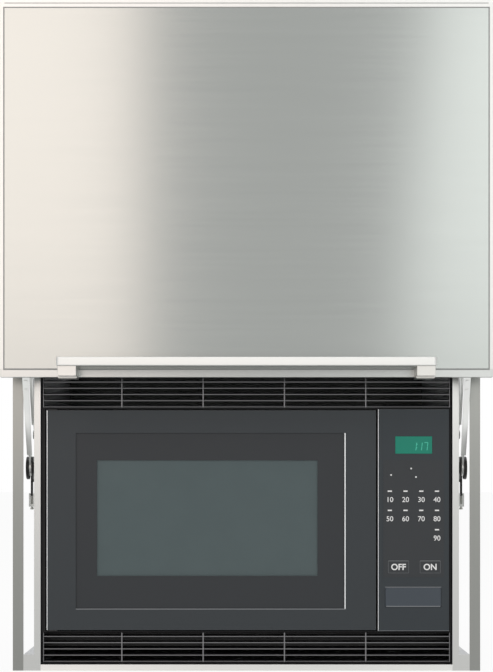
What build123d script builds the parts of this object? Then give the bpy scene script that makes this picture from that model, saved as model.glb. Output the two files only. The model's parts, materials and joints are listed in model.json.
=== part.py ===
from build123d import *
from math import asin, atan2, cos, degrees, hypot, radians, sin, tan
import os

# Built-in microwave oven in a housing whose front panel lifts up on two pairs of parallel arms.
# Millimetres. +X is right, +Z up, and the front faces -Y. The origin is the centre of the underside.
# Depths are measured back from the front face of the housing's frame, so a negative depth is in front.
# The panel is drawn lifted, and the oven door closed.

# ---- housing ----
housing_width = 686.0
housing_depth = 530.0
bottom_rail = 9.0
lower_louvre_height = 48.5
oven_face_height = 326.5
upper_louvre_height = 82.0
top_rail = 74.0
outer_stile = 15.5
arm_slot = 15.7
inner_stile = 9.5
frame_sheet = 2.0
panel_sheet = 1.5
frame_return = 30.0
slot_bottom = 23.5
slot_head_room = 8.3
fixing_hole_radius = 2.25
fixing_hole_depth = 18.0
fixing_spacing = 360.0
base_hole_radius = 2.5
base_hole_spacing_x = 500.0
base_hole_spacing_y = 410.0
shelf_sheet = 1.5
shelf_front_depth = 44.0
shelf_flange = 20.0
side_wall_gap = 0.7
vent_slot = (6.0, 60.0)
vent_pitch = 16.0
side_vent_start = 290.0
side_vent_margin = 60.0
rear_vent_margin = 40.0
cord_hole_radius = 22.0

# ---- trim and louvres ----
trim_setback = 8.0
trim_wall = 3.0
trim_skirt = 2.0
trim_depth = 25.0
fit_gap = 0.3
louvre_pitch = 9.2
louvre_first = 2.0
louvre_blade = 1.6
louvre_chord = 11.0
louvre_tilt = 12.0
louvre_frame = 1.5
louvre_setback = 1.0
divider_setback = 2.0
divider_pitch = 119.7
divider_count = 4
divider_shift = -4.0
divider_wall = 2.0

# ---- front panel that lifts ----
panel_overlap = 8.0
panel_bottom = 4.0
panel_height = 539.0
panel_thickness = 22.0
panel_back_gap = 2.0
panel_sheet_front = 1.2
panel_sheet_pan = 0.9
skin_margin_side = 6.4
skin_margin_top = 13.5
skin_margin_bottom = 12.0
pan_flange = 22.0
handle_length = 533.0
handle_height = 12.5
handle_bar_depth = 15.0
handle_standoff = 37.0
handle_bar_bottom = 13.6
handle_post_width = 26.0
handle_post_height = 26.0
handle_post_drop = 3.4
handle_post_inset = 2.0
handle_post_setback = 2.0
handle_post_step = 3.0
handle_chamfer = 2.5

# ---- lift linkage ----
lift_rise = 422.4
lift_forward = 68.0
arm_length = 225.0
door_pin_height = 71.4
closed_pin_depth = 15.0
guide_offset = 50.0
lift_plate_thickness = 3.0
lift_arm_thickness = 3.1
lift_arm_half_width = 8.0
arm_flange_thickness = 2.0
arm_flange_width_door = 10.0
arm_flange_width_hub = 7.4
arm_flange_start = 26.0
arm_flange_stop = 22.0
arm_hub_radius = 12.0
arm_end_radius = 9.0
guide_arm_thickness = 2.8
guide_arm_half_width = 6.0
guide_end_radius = 8.0
guide_flange_thickness = 1.5
guide_flange_width = 6.6
guide_flange_start = 14.0
guide_flange_stop = 30.0
main_shaft_radius = 6.0
guide_post_radius = 4.5
door_pin_radius = 4.0
running_clearance = 0.05
side_clearance = 0.3
hub_radius = 17.0
hub_wall = 1.5
hub_neck_wall = 1.6
hub_disc_gap = 1.8
hub_disc_thickness = 2.2
hub_cap_thickness = 4.3
spring_case_depth = 4.4
case_gap = 0.5
sleeve_wall = 1.0
sleeve_inset = 1.8
pin_head = 1.4
pin_head_lap = 2.0
pin_head_gap = 0.2
pin_end = 0.6
spring_strip = 0.8
spring_turns = 4
bracket_thickness = 3.0
rivet_radius = 2.6
rivet_height = 1.4
rivet_places = (132.0, 146.0)
stop_place = 20.0
stop_radius = 5.0
magnet_size = (40.0, 12.0)
magnet_spacing = 400.0
magnet_ear = 8.0
magnet_back = 10.0
buffer_radius = 5.0
plate_reach_down = 75.0
plate_reach_up = 100.0
plate_reach_front = 29.85
plate_reach_back = 80.15
screw_radius = 2.0
screw_hole_radius = 2.1
screw_head_radius = 4.0
screw_head = 2.2
screw_margin = 10.0
fork_back = 15.0
fork_drop = 48.0
fork_prong = 2.5
fork_floor = 4.0
fork_rise = 10.0
fork_seat = 6.0
fork_ear = 14.0
anchor_plate = 3.0
anchor_wide = 8.0
anchor_knee_up = 5.0
anchor_knee_down = 4.0
anchor_root = 2.0
adjuster_length = 17.0
adjuster_head = 3.0
adjuster_radius = 1.4
adjuster_hole_radius = 1.5
bracket_foot = 2.0
bracket_foot_width = 14.0
bracket_below_pin = 10.0
bracket_above_guide_pin = 9.0
bracket_behind_pin = 8.0
slit_gap = 0.3

# ---- oven ----
oven_gap = 0.6
oven_shift = 1.3
trim_jamb = 3.1
oven_setback = 3.0
oven_body_depth = 430.0
control_width = 104.7
door_seam = 2.8
door_wall = 2.5
door_depth = 35.5
door_left_gap = 1.0
door_back_gap = 1.0
door_corner_radius = 1.2
control_depth = 37.0
front_plate_sheet = 1.5
case_sheet = 1.0
oven_foot_height = 10.0
case_inset = 2.5
case_lift = 2.5
case_vent_reach = (55.0, 60.0)
case_vent_rise = 40.0
foot_radius = 12.0
foot_inset = 40.0
foot_front = 30.0
front_plate_inset = 1.0
front_plate_window_side = 8.0
front_plate_window_end = 20.0
cavity_depth = 380.0
cavity_left_margin = 55.0
cavity_right_margin = 62.9
cavity_top_margin = 39.8
cavity_floor = 46.7
cavity_sheet = 1.0
bezel_left = 44.2
bezel_right = 46.0
bezel_bottom = 33.2
bezel_top = 35.1
bezel_recess = 2.5
window_left = 75.0
window_right = 85.4
window_bottom = 81.2
window_top = 75.2
window_glass = 3.0
window_lap = 6.0
hinge_sheet = 1.2
hinge_pin_radius = 2.0
hinge_pin_length = 9.0
hinge_in = 6.0
hinge_back = 5.0
hinge_pin_room = 1.0
hinge_leaf_left = 4.0
hinge_leaf_right = 10.0
hinge_leaf_front = 3.5
hinge_block_height = 14.0
hinge_block_reach = 7.0
hinge_block_inset = 1.0
door_edge_gap = 0.3
liner_thickness = 10.5
liner_sheet = 1.2
liner_gap = 0.4
choke_lap = 8.0
choke_groove = 4.0
choke_channel = 12.0
screen_holes = (12, 6)
screen_hole_radius = 4.0
hook_thickness = 3.0
hook_length = 20.0
hook_height = 14.0
hook_barb = 3.0
hook_barb_length = 6.0
hook_spacing = 140.0
hook_inset = 14.0
hook_slot_wide = 14.0
hook_slot_tall = 26.0
hook_slot_shift = 1.5
switch_plate_gap = 3.0
switch_plate_margin = 20.0
switch_plate_sheet = 2.0
switch_plate_depth = 34.0
switch_size = (10.0, 22.0, 16.0)
switch_margin = 8.0
plunger_place = 16.0
plunger_reach = 2.5
plunger_radius = 1.6

# ---- controls ----
display_width = 54.0
display_height = 25.4
display_left = 25.8
display_drop = 40.1
display_thickness = 2.0
display_recess = 0.2
display_rest = 1.5
display_rest_lap = 2.5
button_width = 81.8
button_height = 28.0
button_left = 11.0
button_bottom = 36.0
button_travel = 4.0
button_proud = 1.0
button_depth = 16.0
button_clearance = 0.4
button_guide_wall = 1.5
button_face_wall = 3.0
button_wall = 2.5
button_corner_radius = 2.0
key_size = (14.0, 8.0)
key_rise = 0.4
key_columns = 4
key_first_column = 18.1
key_column_pitch = 23.1
key_row_drops = (132.7, 160.9)
last_key_drop = 189.3
icon_radius = 6.0
icon_places = ((47.8, 83.7), (18.6, 93.2), (56.1, 99.8))
pad_size = (30.3, 18.2)
pad_lefts = (15.6, 62.1)
pad_rise = 21.5
keypad_sheet = 0.5
keypad_margin = 6.0
board_thickness = 1.6
board_depth = 18.0
board_above_button = 20.0
board_below_top = 12.0
board_side_gap = 6.0
board_post_radius = 2.5
board_post_inset = 14.0
board_post_margin = 8.0
display_module_depth = 9.0
stem_offset = 18.0
stem_half_width = 3.0
stem_half_height = 5.0
stem_reach = 26.0
stem_root = 2.0
lever_arm = 30.0
lever_thickness = 4.0
lever_height = 16.0
lever_pin_radius = 2.5
lever_hub_wall = 3.0
lever_overhang = 6.0
lever_end_gap = 0.5
lever_leaf = 2.0
lever_leaf_front = 4.0
lever_leaf_left = 5.0
lever_leaf_side_gap = 4.0
lever_web_start = 8.0

# ---- inside the oven ----
tray_room = 35.0
tray_thickness = 5.0
tray_rim = 6.0
roller_radius = 7.0
roller_width = 6.0
roller_inset = 65.0
roller_bore = 1.6
roller_play = 0.02
axle_spare = 6.0
axle_root = 2.0
axle_cap_gap = 1.0
axle_cap_radius = 3.0
axle_cap = 1.4
ring_roller_gap = 2.0
ring_wire = 2.4
coupler_radius = 16.0
coupler_height = 13.0
coupler_hub_wall = 3.0
coupler_wings = 3
coupler_wing = 4.0
coupler_bore_room = 0.5
motor_radius = 25.0
motor_height = 20.0
turntable_shaft_radius = 3.0
turntable_shaft_rise = 9.0
shaft_hole_room = 2.0
fan_radius = 55.0
fan_hub_radius = 12.0
fan_blades = 6
fan_depth = 18.0
fan_shaft_radius = 2.5
fan_height = 203.2
fan_setback = 62.0
fan_blade_root = 3.0
fan_blade_pitch = 35.0
fan_blade_width = 22.0
fan_blade_sheet = 1.6
fan_motor_size = (40.0, 20.0)
fan_motor_gap = 6.0
fan_bracket_sheet = 2.0
fan_bracket_half = 10.0
fan_bracket_room = 4.0
fan_shaft_end = 3.0
magnetron_size = (80.0, 80.0, 90.0)
magnetron_fins = 7
magnetron_block = 14.0
magnetron_core_radius = 20.0
magnetron_fin_sheet = 1.2
magnetron_fin_inset = 6.0
magnetron_fin_shift = 0.6
bay_gap = 12.0
transformer_size = (95.0, 100.0, 80.0)
transformer_setback = 52.0
winding_proud = 20.0
winding_inset = 12.0
capacitor_radius = 22.0
capacitor_length = 80.0
capacitor_gap = 20.0
tag_place = 7.0
tag_length = 8.0
tag_radius = 2.0
lamp_radius = 12.0
lamp_length = 34.0
lamp_holder_height = 10.0
lamp_top_gap = 3.0
bulb_radius = 8.0
lamp_from_right = 30.0
lamp_from_front = 60.0
waveguide_cover_size = (70.0, 90.0)
waveguide_cover_sheet = 0.8
waveguide_lap = 8.0
waveguide_rise = 20.0
gland_height = 55.0
gland_radius = 8.0
gland_flange_radius = 12.0
gland_flange = 3.0
gland_inside = 8.0
gland_outside = 10.0
cord_bore_radius = 4.0
cord_hole_height = 60.0

# ---- worked out ----
half_width = housing_width / 2
front_y = -housing_depth / 2
oven_bottom = bottom_rail + lower_louvre_height
oven_top = oven_bottom + oven_face_height
opening_top = oven_top + upper_louvre_height
housing_height = opening_top + top_rail
slot_outer = half_width - outer_stile
slot_inner = slot_outer - arm_slot
opening_half = slot_inner - inner_stile
side_inner = opening_half + side_wall_gap
side_outer = side_inner + panel_sheet

# The linkage: each arm swings from swing_closed below the horizontal to swing_lifted above it.
swing_half = degrees(asin(hypot(lift_rise, lift_forward) / (2 * arm_length)))
swing_bias = degrees(atan2(lift_forward, lift_rise))
swing_lifted = swing_half - swing_bias
swing_closed = swing_half + swing_bias
closed_pin_z = panel_bottom + door_pin_height
pivot_z = closed_pin_z + arm_length * sin(radians(swing_closed))
pivot_depth = closed_pin_depth + arm_length * cos(radians(swing_closed))
pin_z = pivot_z + arm_length * sin(radians(swing_lifted))
pin_depth = pivot_depth - arm_length * cos(radians(swing_lifted))
guide_direction = radians(90 - swing_bias)
guide_dz = guide_offset * sin(guide_direction)
guide_dd = -guide_offset * cos(guide_direction)

# The arm slots end just above the place where the lifted guide arms pass through them.
guide_crossing = pivot_z + guide_dz + (pivot_depth + guide_dd) * tan(radians(swing_lifted))
slot_top = guide_crossing + guide_arm_half_width / cos(radians(swing_lifted)) + slot_head_room

# Layers of the linkage, measured from the middle of the housing outwards.
plate_in = side_outer
plate_out = plate_in + lift_plate_thickness
case_in = plate_out + case_gap
case_out = case_in + spring_case_depth
guide_in = case_out + case_gap
guide_out = guide_in + guide_arm_thickness
guide_head_out = guide_out + pin_head_gap + pin_head
bracket_in = guide_out + case_gap
bracket_out = bracket_in + bracket_thickness
disc_in = guide_out + hub_disc_gap
disc_out = disc_in + hub_disc_thickness
arm_in = disc_out + side_clearance
arm_out = arm_in + lift_arm_thickness
pin_head_out = arm_out + pin_head_gap + pin_head
cap_in = arm_out + side_clearance
cap_out = cap_in + hub_cap_thickness
sleeve_radius = main_shaft_radius + sleeve_wall
sleeve_bore = sleeve_radius + side_clearance

# The plate that carries both pivots, and the fork for the spring's anchor.
plate_low = pivot_z - plate_reach_down
plate_high = pivot_z + plate_reach_up
plate_front = pivot_depth - plate_reach_front
plate_back = pivot_depth + plate_reach_back
fork_depth = pivot_depth + fork_back
fork_z = pivot_z - fork_drop
anchor_out = arm_out
anchor_in = anchor_out - anchor_plate

# The lifted panel.
lip_z = panel_bottom + lift_rise
panel_back = -panel_back_gap - lift_forward
panel_front = panel_back - panel_thickness
panel_half = half_width + panel_overlap
pan_front = panel_front + panel_sheet_front
bracket_low = pin_z - bracket_below_pin
bracket_high = pin_z + guide_dz + bracket_above_guide_pin
bracket_back = pin_depth + bracket_behind_pin

# The oven's face.
face_half = opening_half - trim_skirt - fit_gap - oven_gap - trim_jamb
face_left = oven_shift - face_half
face_right = oven_shift + face_half
plate_depth = oven_setback + control_depth
control_left = face_right - control_width
door_right = control_left - door_seam
door_left = face_left + door_left_gap
door_bottom = oven_bottom + fit_gap + hinge_sheet + door_edge_gap
door_top = oven_top - fit_gap - hinge_sheet - door_edge_gap
hinge_x = door_left + hinge_in
hinge_depth = oven_setback + hinge_back
liner_front = oven_setback + door_depth - liner_thickness
cavity_left = face_left + cavity_left_margin
cavity_right = control_left - cavity_right_margin
cavity_bottom = oven_bottom + cavity_floor
cavity_top = oven_top - cavity_top_margin
cavity_front = plate_depth + front_plate_sheet
cavity_mid_x = (cavity_left + cavity_right) / 2
cavity_mid_depth = cavity_front + cavity_depth / 2
case_bottom = oven_bottom + case_inset + case_lift
case_top = oven_top - case_inset
case_left = face_left + case_inset
case_right = face_right - case_inset
case_back = plate_depth + oven_body_depth
shelf_top = case_bottom - oven_foot_height
hook_x = door_right - hook_inset
hook_z = (oven_bottom + oven_top) / 2
tray_z = cavity_bottom + 2 * roller_radius
tray_radius = min(cavity_right - cavity_left, cavity_depth) / 2 - tray_room
roller_path_radius = tray_radius - roller_inset
window_half = (door_right - window_right - face_left - window_left) / 2
window_x = face_left + window_left + window_half
window_rise = (oven_face_height - window_top - window_bottom) / 2
window_z = oven_bottom + window_bottom + window_rise
display_low = oven_top - display_drop - display_height
bay_x = (cavity_right + case_right) / 2
fan_z = oven_bottom + fan_height
fan_front = case_back - fan_setback
gland_z = case_bottom + gland_height
stem_x = control_left + button_left + stem_offset
stem_end = oven_setback + stem_reach
lever_z = oven_bottom + button_bottom + button_height / 2
lever_pivot_x = stem_x + lever_arm
lever_front = stem_end + side_clearance


def block(x0, x1, d0, d1, z0, z1):
    """A box between two X places, two depths and two heights."""
    size = Box(abs(x1 - x0), d1 - d0, z1 - z0)
    return Pos((x0 + x1) / 2, front_y + (d0 + d1) / 2, (z0 + z1) / 2) * size


def rod_x(x0, x1, depth, z, radius):
    """A round bar along X."""
    return Pos((x0 + x1) / 2, front_y + depth, z) * Rot(0, 90, 0) * Cylinder(radius, abs(x1 - x0))


def rod_y(x, d0, d1, z, radius):
    """A round bar along the depth."""
    return Pos(x, front_y + (d0 + d1) / 2, z) * Rot(90, 0, 0) * Cylinder(radius, d1 - d0)


def rod_z(x, depth, z0, z1, radius):
    """A round bar along Z."""
    return Pos(x, front_y + depth, (z0 + z1) / 2) * Cylinder(radius, z1 - z0)


def both_sides(shape):
    """The right-hand piece and its mirror image on the left."""
    return [shape, shape.mirror(Plane.YZ)]


def ring_box(x0, x1, d0, d1, z0, z1, wall):
    """A rectangular sleeve along the depth, with its wall inside the given size."""
    hole = block(x0 + wall, x1 - wall, d0 - 1, d1 + 1, z0 + wall, z1 - wall)
    return block(x0, x1, d0, d1, z0, z1) - hole


# ---- housing ----
def front_frame():
    """Stiles and rails in one sheet, with an arm slot on each side and its outer edges folded back."""
    shape = block(-half_width, half_width, 0, frame_sheet, 0, housing_height)
    shape -= block(-opening_half, opening_half, -1, frame_sheet + 1, bottom_rail, opening_top)
    magnet_z = opening_top + top_rail / 2
    for side in (-1, 1):
        shape -= block(side * slot_inner, side * slot_outer, -1, frame_sheet + 1, slot_bottom, slot_top)
        edge = side * half_width
        inner = side * (half_width - frame_sheet)
        shape += block(inner, edge, frame_sheet, frame_return, 0, housing_height)
        for z in fixing_heights():
            shape -= rod_x(inner - side, edge + side, fixing_hole_depth, z, fixing_hole_radius)
        x = side * magnet_spacing / 2
        half = magnet_size[0] / 2 + fit_gap
        tall = magnet_size[1] / 2 + fit_gap
        shape -= block(x - half, x + half, -1, frame_sheet + 1, magnet_z - tall, magnet_z + tall)
    return shape


def fixing_heights():
    """Heights of the side fixing holes, about the middle of the housing."""
    middle = housing_height / 2
    return middle - fixing_spacing / 2, middle + fixing_spacing / 2


def base_panel():
    """Floor with a box rail under each arm bay."""
    back = housing_depth
    floor = block(-slot_outer, slot_outer, frame_sheet, back, 0, panel_sheet)
    for side in (-1, 1):
        inner = side * side_outer
        outer = side * slot_outer
        inner_wall = side * (side_outer + panel_sheet)
        outer_wall = side * (slot_outer - panel_sheet)
        floor += block(inner, inner_wall, frame_sheet, back, panel_sheet, slot_bottom)
        floor += block(outer_wall, outer, frame_sheet, back, panel_sheet, slot_bottom)
        floor += block(inner, outer, frame_sheet, back, slot_bottom - panel_sheet, slot_bottom)
    for x in (-base_hole_spacing_x / 2, base_hole_spacing_x / 2):
        for y in (-base_hole_spacing_y / 2, base_hole_spacing_y / 2):
            floor -= rod_z(x, y - front_y, -1, panel_sheet + 1, base_hole_radius)
    return floor


def side_panel():
    """Right wall of the box, which carries the lift plate; screwed through at the plate's corners."""
    top = housing_height - panel_sheet
    wall = block(side_inner, side_outer, frame_sheet, housing_depth - panel_sheet, panel_sheet, top)
    for depth, z in plate_screws():
        wall -= rod_x(side_inner - 1, side_outer + 1, depth, z, screw_hole_radius)
    wide, tall = vent_slot
    high = opening_top + top_rail / 2
    for depth in vent_places(side_vent_start, housing_depth - side_vent_margin):
        wall -= block(side_inner - 1, side_outer + 1, depth, depth + wide, high - tall, high)
    return wall


def vent_places(start, stop):
    """Starts of a row of vent slots that fits between two places."""
    count = int((stop - start) // vent_pitch)
    return [start + i * vent_pitch for i in range(count)]


def top_panel():
    """Roof with its sides folded down outside the walls."""
    z = housing_height
    roof = block(-slot_outer, slot_outer, frame_sheet, housing_depth, z - panel_sheet, z)
    for side in (-1, 1):
        edge = side * slot_outer
        inner = side * (slot_outer - panel_sheet)
        roof += block(inner, edge, frame_sheet, housing_depth, z - top_rail / 2, z - panel_sheet)
    return roof


def rear_panel():
    """Back wall with vent slots at the top and a hole for the supply cord."""
    top = housing_height - panel_sheet
    depth = housing_depth
    wall = block(-side_outer, side_outer, depth - panel_sheet, depth, panel_sheet, top)
    front = depth - panel_sheet - 1
    wide, tall = vent_slot
    for x in vent_places(rear_vent_margin - side_inner, side_inner - rear_vent_margin):
        wall -= block(x, x + wide, front, depth + 1, opening_top, opening_top + tall)
    wall -= rod_y(bay_x, front, depth + 1, oven_bottom + cord_hole_height, cord_hole_radius)
    return wall


def oven_shelf():
    """Platform between the side walls, folded down at each side and across the front."""
    left, right = -side_inner, side_inner
    z = shelf_top
    back = case_back
    deck = block(left, right, shelf_front_depth, back, z - shelf_sheet, z)
    for side in (-1, 1):
        edge = side * side_inner
        inner = side * (side_inner - shelf_sheet)
        deck += block(inner, edge, shelf_front_depth, back, z - shelf_flange, z - shelf_sheet)
    front = shelf_front_depth
    deck += block(left, right, front, front + shelf_sheet, z - shelf_flange, z - shelf_sheet)
    return deck


# ---- trim ----
def trim_surround():
    """Black frame that fills the opening, with a skirt behind and three windows."""
    half = opening_half - fit_gap
    low = bottom_rail + fit_gap
    high = opening_top - fit_gap
    face = trim_setback
    shape = block(-half, half, face, face + trim_wall, low, high)
    shape += ring_box(-half, half, face + trim_wall, face + trim_depth, low, high, trim_skirt)
    back = face + trim_depth + 1
    oven = block(face_left - oven_gap, face_right + oven_gap, face - 1, back, oven_bottom, oven_top)
    shape -= oven
    for z0, z1 in (louvre_span(lower=True), louvre_span(lower=False)):
        reach = half - trim_skirt
        shape -= block(-reach, reach, face - 1, face + trim_wall + 1, z0, z1)
    return shape


def louvre_span(lower):
    """Lowest and highest Z of a louvre window."""
    if lower:
        return bottom_rail + fit_gap + trim_skirt, oven_bottom - trim_skirt
    return oven_top + trim_skirt, opening_top - fit_gap - trim_skirt


def louvre(lower):
    """Tilted blades between two end walls, joined by upright dividers."""
    z0, z1 = louvre_span(lower)
    z0, z1 = z0 + fit_gap, z1 - fit_gap
    half = opening_half - 2 * fit_gap - trim_skirt
    face = trim_setback + louvre_setback
    back = face + louvre_chord
    grille = block(-half, -half + louvre_frame, face, back, z0, z1)
    grille += block(half - louvre_frame, half, face, back, z0, z1)
    for i in range(divider_count):
        x = divider_shift + (i - (divider_count - 1) / 2) * divider_pitch
        grille += block(x - divider_wall / 2, x + divider_wall / 2, face + divider_setback, back, z0, z1)
    count = int((z1 - z0 - 2 * louvre_first) // louvre_pitch) + 1
    for i in range(count):
        place = Pos(0, front_y + face + louvre_chord / 2, z0 + louvre_first + i * louvre_pitch)
        blade = Box(2 * half, louvre_chord, louvre_blade)
        grille += place * Rot(louvre_tilt, 0, 0) * blade
    keep = block(-half, half, face, back, z0, z1)
    return grille & keep


# ---- lift linkage, drawn for the right side ----
def plate_screws():
    """Depth and height of the screws that hold a lift plate."""
    depths = (plate_front + screw_margin, plate_back - screw_margin)
    heights = (plate_low + screw_margin, plate_high - screw_margin)
    return [(depth, z) for depth in depths for z in heights]


def along_arm(distance, aside=0.0):
    """Depth and height of a point on the lifted arm, aside measured up and back from its line."""
    angle = radians(swing_lifted)
    depth = pivot_depth - distance * cos(angle) + aside * sin(angle)
    return depth, pivot_z + distance * sin(angle) + aside * cos(angle)


def set_arm(shape, depth, z):
    """Turns an arm that was drawn level, pointing forward from the origin, to its lifted place."""
    return Pos(0, front_y + depth, z) * Rot(-swing_lifted, 0, 0) * shape


def level_rod(x0, x1, distance, radius):
    """A round bar along X at a distance along an arm that is drawn level."""
    return Pos((x0 + x1) / 2, -distance, 0) * Rot(0, 90, 0) * Cylinder(radius, x1 - x0)


def level_bar(x0, x1, start, stop, low, high):
    """A box on an arm that is drawn level."""
    size = Box(x1 - x0, stop - start, high - low)
    return Pos((x0 + x1) / 2, -(start + stop) / 2, (low + high) / 2) * size


def lift_plate():
    """Plate on the side wall that carries both pivots of one side."""
    plate = block(plate_in, plate_out, plate_front, plate_back, plate_low, plate_high)
    for depth, z in plate_screws():
        plate -= rod_x(plate_in - 1, plate_out + 1, depth, z, screw_hole_radius)
    return plate + adjuster_fork()


def pivot_shafts():
    """Main shaft and guide post of one side; the post has a spacer inside its arm and a head outside."""
    main = rod_x(plate_out, cap_out, pivot_depth, pivot_z, main_shaft_radius)
    depth = pivot_depth + guide_dd
    z = pivot_z + guide_dz
    head_radius = guide_post_radius + pin_head_lap
    post = rod_x(plate_out, guide_head_out, depth, z, guide_post_radius)
    post += rod_x(plate_out, guide_in - side_clearance, depth, z, head_radius)
    post += rod_x(guide_out + pin_head_gap, guide_head_out, depth, z, head_radius)
    return [main, post]


def spring_case():
    """Spool: a cup round the spring, a neck, and a disc whose anchor lever reaches down to the adjuster."""
    spool = rod_x(case_in, case_out, pivot_depth, pivot_z, hub_radius)
    spool -= rod_x(case_in - 1, case_out - hub_wall, pivot_depth, pivot_z, hub_radius - hub_wall)
    spool += rod_x(case_out, disc_in, pivot_depth, pivot_z, sleeve_bore + hub_neck_wall)
    spool += rod_x(disc_in, disc_out, pivot_depth, pivot_z, hub_radius)
    start = fork_depth - anchor_wide / 2
    stop = fork_depth + anchor_wide / 2
    low = pivot_z - hub_radius - anchor_knee_down
    high = pivot_z - hub_radius + anchor_knee_up
    spool += block(disc_in, disc_out, pivot_depth + anchor_root, stop, low, high)
    spool += block(disc_in, anchor_out, start, stop, low, high)
    spool += block(anchor_in, anchor_out, start, stop, fork_z + fork_seat, high)
    return spool - rod_x(case_in - 1, disc_out + 1, pivot_depth, pivot_z, sleeve_bore)


def hub_cap():
    """Disc that keeps the arm on its shaft."""
    disc = rod_x(cap_in, cap_out, pivot_depth, pivot_z, hub_radius)
    return disc - rod_x(cap_in - 1, cap_out + 1, pivot_depth, pivot_z, main_shaft_radius + running_clearance)


def lift_spring():
    """Spiral strip of half rings on two centres, wound inside the case."""
    first = sleeve_bore + spring_strip
    last = hub_radius - hub_wall - spring_strip
    halves = 2 * spring_turns
    step = (last - first) / halves
    low, high = case_in + side_clearance, case_out - hub_wall - side_clearance
    spiral = None
    for i in range(halves):
        up = 1 if i % 2 == 0 else -1
        radius = first + i * step
        ring = Cylinder(radius + spring_strip / 2, high - low)
        ring -= Cylinder(radius - spring_strip / 2, high - low + 1)
        reach = 2 * hub_radius
        ring &= Pos(0, up * reach / 2, 0) * Box(2 * reach, reach, high - low)
        ring = Pos(up * step / 2, 0, 0) * ring
        spiral = ring if spiral is None else spiral + ring
    place = Pos((low + high) / 2, front_y + pivot_depth, pivot_z) * Rot(0, 90, 0)
    return place * spiral


def adjuster_fork():
    """Fork welded to the lift plate, which holds the end of the anchor lever."""
    start = fork_depth - anchor_wide / 2
    stop = fork_depth + anchor_wide / 2
    outer = anchor_out + side_clearance + fork_prong
    inner = anchor_in - side_clearance - fork_prong
    floor = fork_z - fork_seat
    high = fork_z + fork_rise
    fork = block(plate_out, outer, start, stop, floor - fork_floor, floor)
    ear_out = plate_out + lift_plate_thickness
    fork += block(plate_out, ear_out, start, stop + fork_ear, floor - fork_floor, high)
    fork += block(inner, anchor_in - side_clearance, start, stop, floor, high)
    fork += block(anchor_out + side_clearance, outer, start, stop, floor, high)
    middle = anchor_out - anchor_plate / 2
    return fork - rod_z(middle, fork_depth, floor - fork_floor - 1, floor + 1, adjuster_hole_radius)


def adjuster_screw():
    """Screw under the lever's end that sets the spring's load."""
    middle = anchor_out - anchor_plate / 2
    high = fork_z + fork_seat - pin_head_gap
    low = high - adjuster_length
    shank = rod_z(middle, fork_depth, low, high, adjuster_radius)
    return shank + rod_z(middle, fork_depth, low - adjuster_head, low, 2 * adjuster_radius)


def plate_screw(depth, z):
    """Pan-head screw through a lift plate and its side wall."""
    shank = rod_x(side_inner, plate_out, depth, z, screw_radius)
    return shank + rod_x(plate_out, plate_out + screw_head, depth, z, screw_head_radius)


def stop_buffer():
    """Rubber stop that the guide arm rests against when it is up."""
    depth, z = along_arm(stop_place, guide_arm_half_width + side_clearance + stop_radius)
    return rod_x(plate_out, guide_out, depth + guide_dd, z + guide_dz, stop_radius)


def lift_arm():
    """Flat arm with a sleeve into the spring case, and a flange that widens towards the panel."""
    half = lift_arm_half_width
    arm = level_bar(arm_in, arm_out, 0, arm_length, -half, half)
    arm += level_rod(arm_in, arm_out, 0, arm_hub_radius)
    arm += level_rod(arm_in, arm_out, arm_length, arm_end_radius)
    arm += level_rod(case_in + sleeve_inset, arm_in, 0, sleeve_radius)
    middle = (arm_in + arm_out) / 2
    near = arm_flange_width_hub / 2
    far = arm_flange_width_door / 2
    start, stop = arm_flange_start, arm_length - arm_flange_stop
    corners = [(middle - near, -start), (middle + near, -start)]
    corners += [(middle + far, -stop), (middle - far, -stop)]
    flange = extrude(make_face(Polyline(*corners, close=True)), arm_flange_thickness)
    arm += Pos(0, 0, -half - arm_flange_thickness) * flange
    for distance in rivet_places:
        rivet = Pos(middle, -distance, -half - arm_flange_thickness - rivet_height / 2)
        arm += rivet * Cylinder(rivet_radius, rivet_height)
    arm -= level_rod(case_in, arm_out + 1, 0, main_shaft_radius + running_clearance)
    arm -= level_rod(arm_in - 1, arm_out + 1, arm_length, door_pin_radius + running_clearance)
    return set_arm(arm, pivot_depth, pivot_z)


def guide_arm():
    """Angle strut that keeps the panel upright; its flange is on the side away from the lift arm."""
    half = guide_arm_half_width
    arm = level_bar(guide_in, guide_out, 0, arm_length, -half, half)
    start, stop = guide_flange_start, arm_length - guide_flange_stop
    root = half - guide_flange_thickness
    arm += level_bar(guide_in, guide_in + guide_flange_width, start, stop, root, half)
    arm += level_rod(guide_in, guide_out, 0, guide_end_radius)
    arm += level_rod(guide_in, guide_out, arm_length, guide_end_radius)
    arm -= level_rod(guide_in - 1, guide_out + 1, 0, guide_post_radius + running_clearance)
    arm -= level_rod(guide_in - 1, guide_out + 1, arm_length, door_pin_radius + running_clearance)
    return set_arm(arm, pivot_depth + guide_dd, pivot_z + guide_dz)


# ---- front panel ----
def door_bracket():
    """Plate through a slit in the pan, with its foot fixed inside; it carries both pins of one side."""
    inside = panel_back - panel_sheet_pan
    plate = block(bracket_in, bracket_out, inside - bracket_foot, bracket_back, bracket_low, bracket_high)
    foot_in = bracket_in - bracket_foot_width
    plate += block(foot_in, bracket_in, inside - bracket_foot, inside, bracket_low, bracket_high)
    for depth, z in panel_pins():
        plate -= rod_x(bracket_in - 1, bracket_out + 1, depth, z, door_pin_radius + running_clearance)
    return plate


def panel_pins():
    """Depth and height of the main pin and the guide pin of the lifted panel."""
    return (pin_depth, pin_z), (pin_depth + guide_dd, pin_z + guide_dz)


def door_pins():
    """Pins of one side: the main one has a head, the guide one runs in to the guide arm."""
    (main_depth, main_z), (guide_depth, guide_z) = panel_pins()
    main = rod_x(bracket_in, pin_head_out, main_depth, main_z, door_pin_radius)
    main += rod_x(arm_out + pin_head_gap, pin_head_out, main_depth, main_z, door_pin_radius + pin_head_lap)
    guide = rod_x(guide_in - pin_end, bracket_out, guide_depth, guide_z, door_pin_radius)
    return [main, guide]


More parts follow.
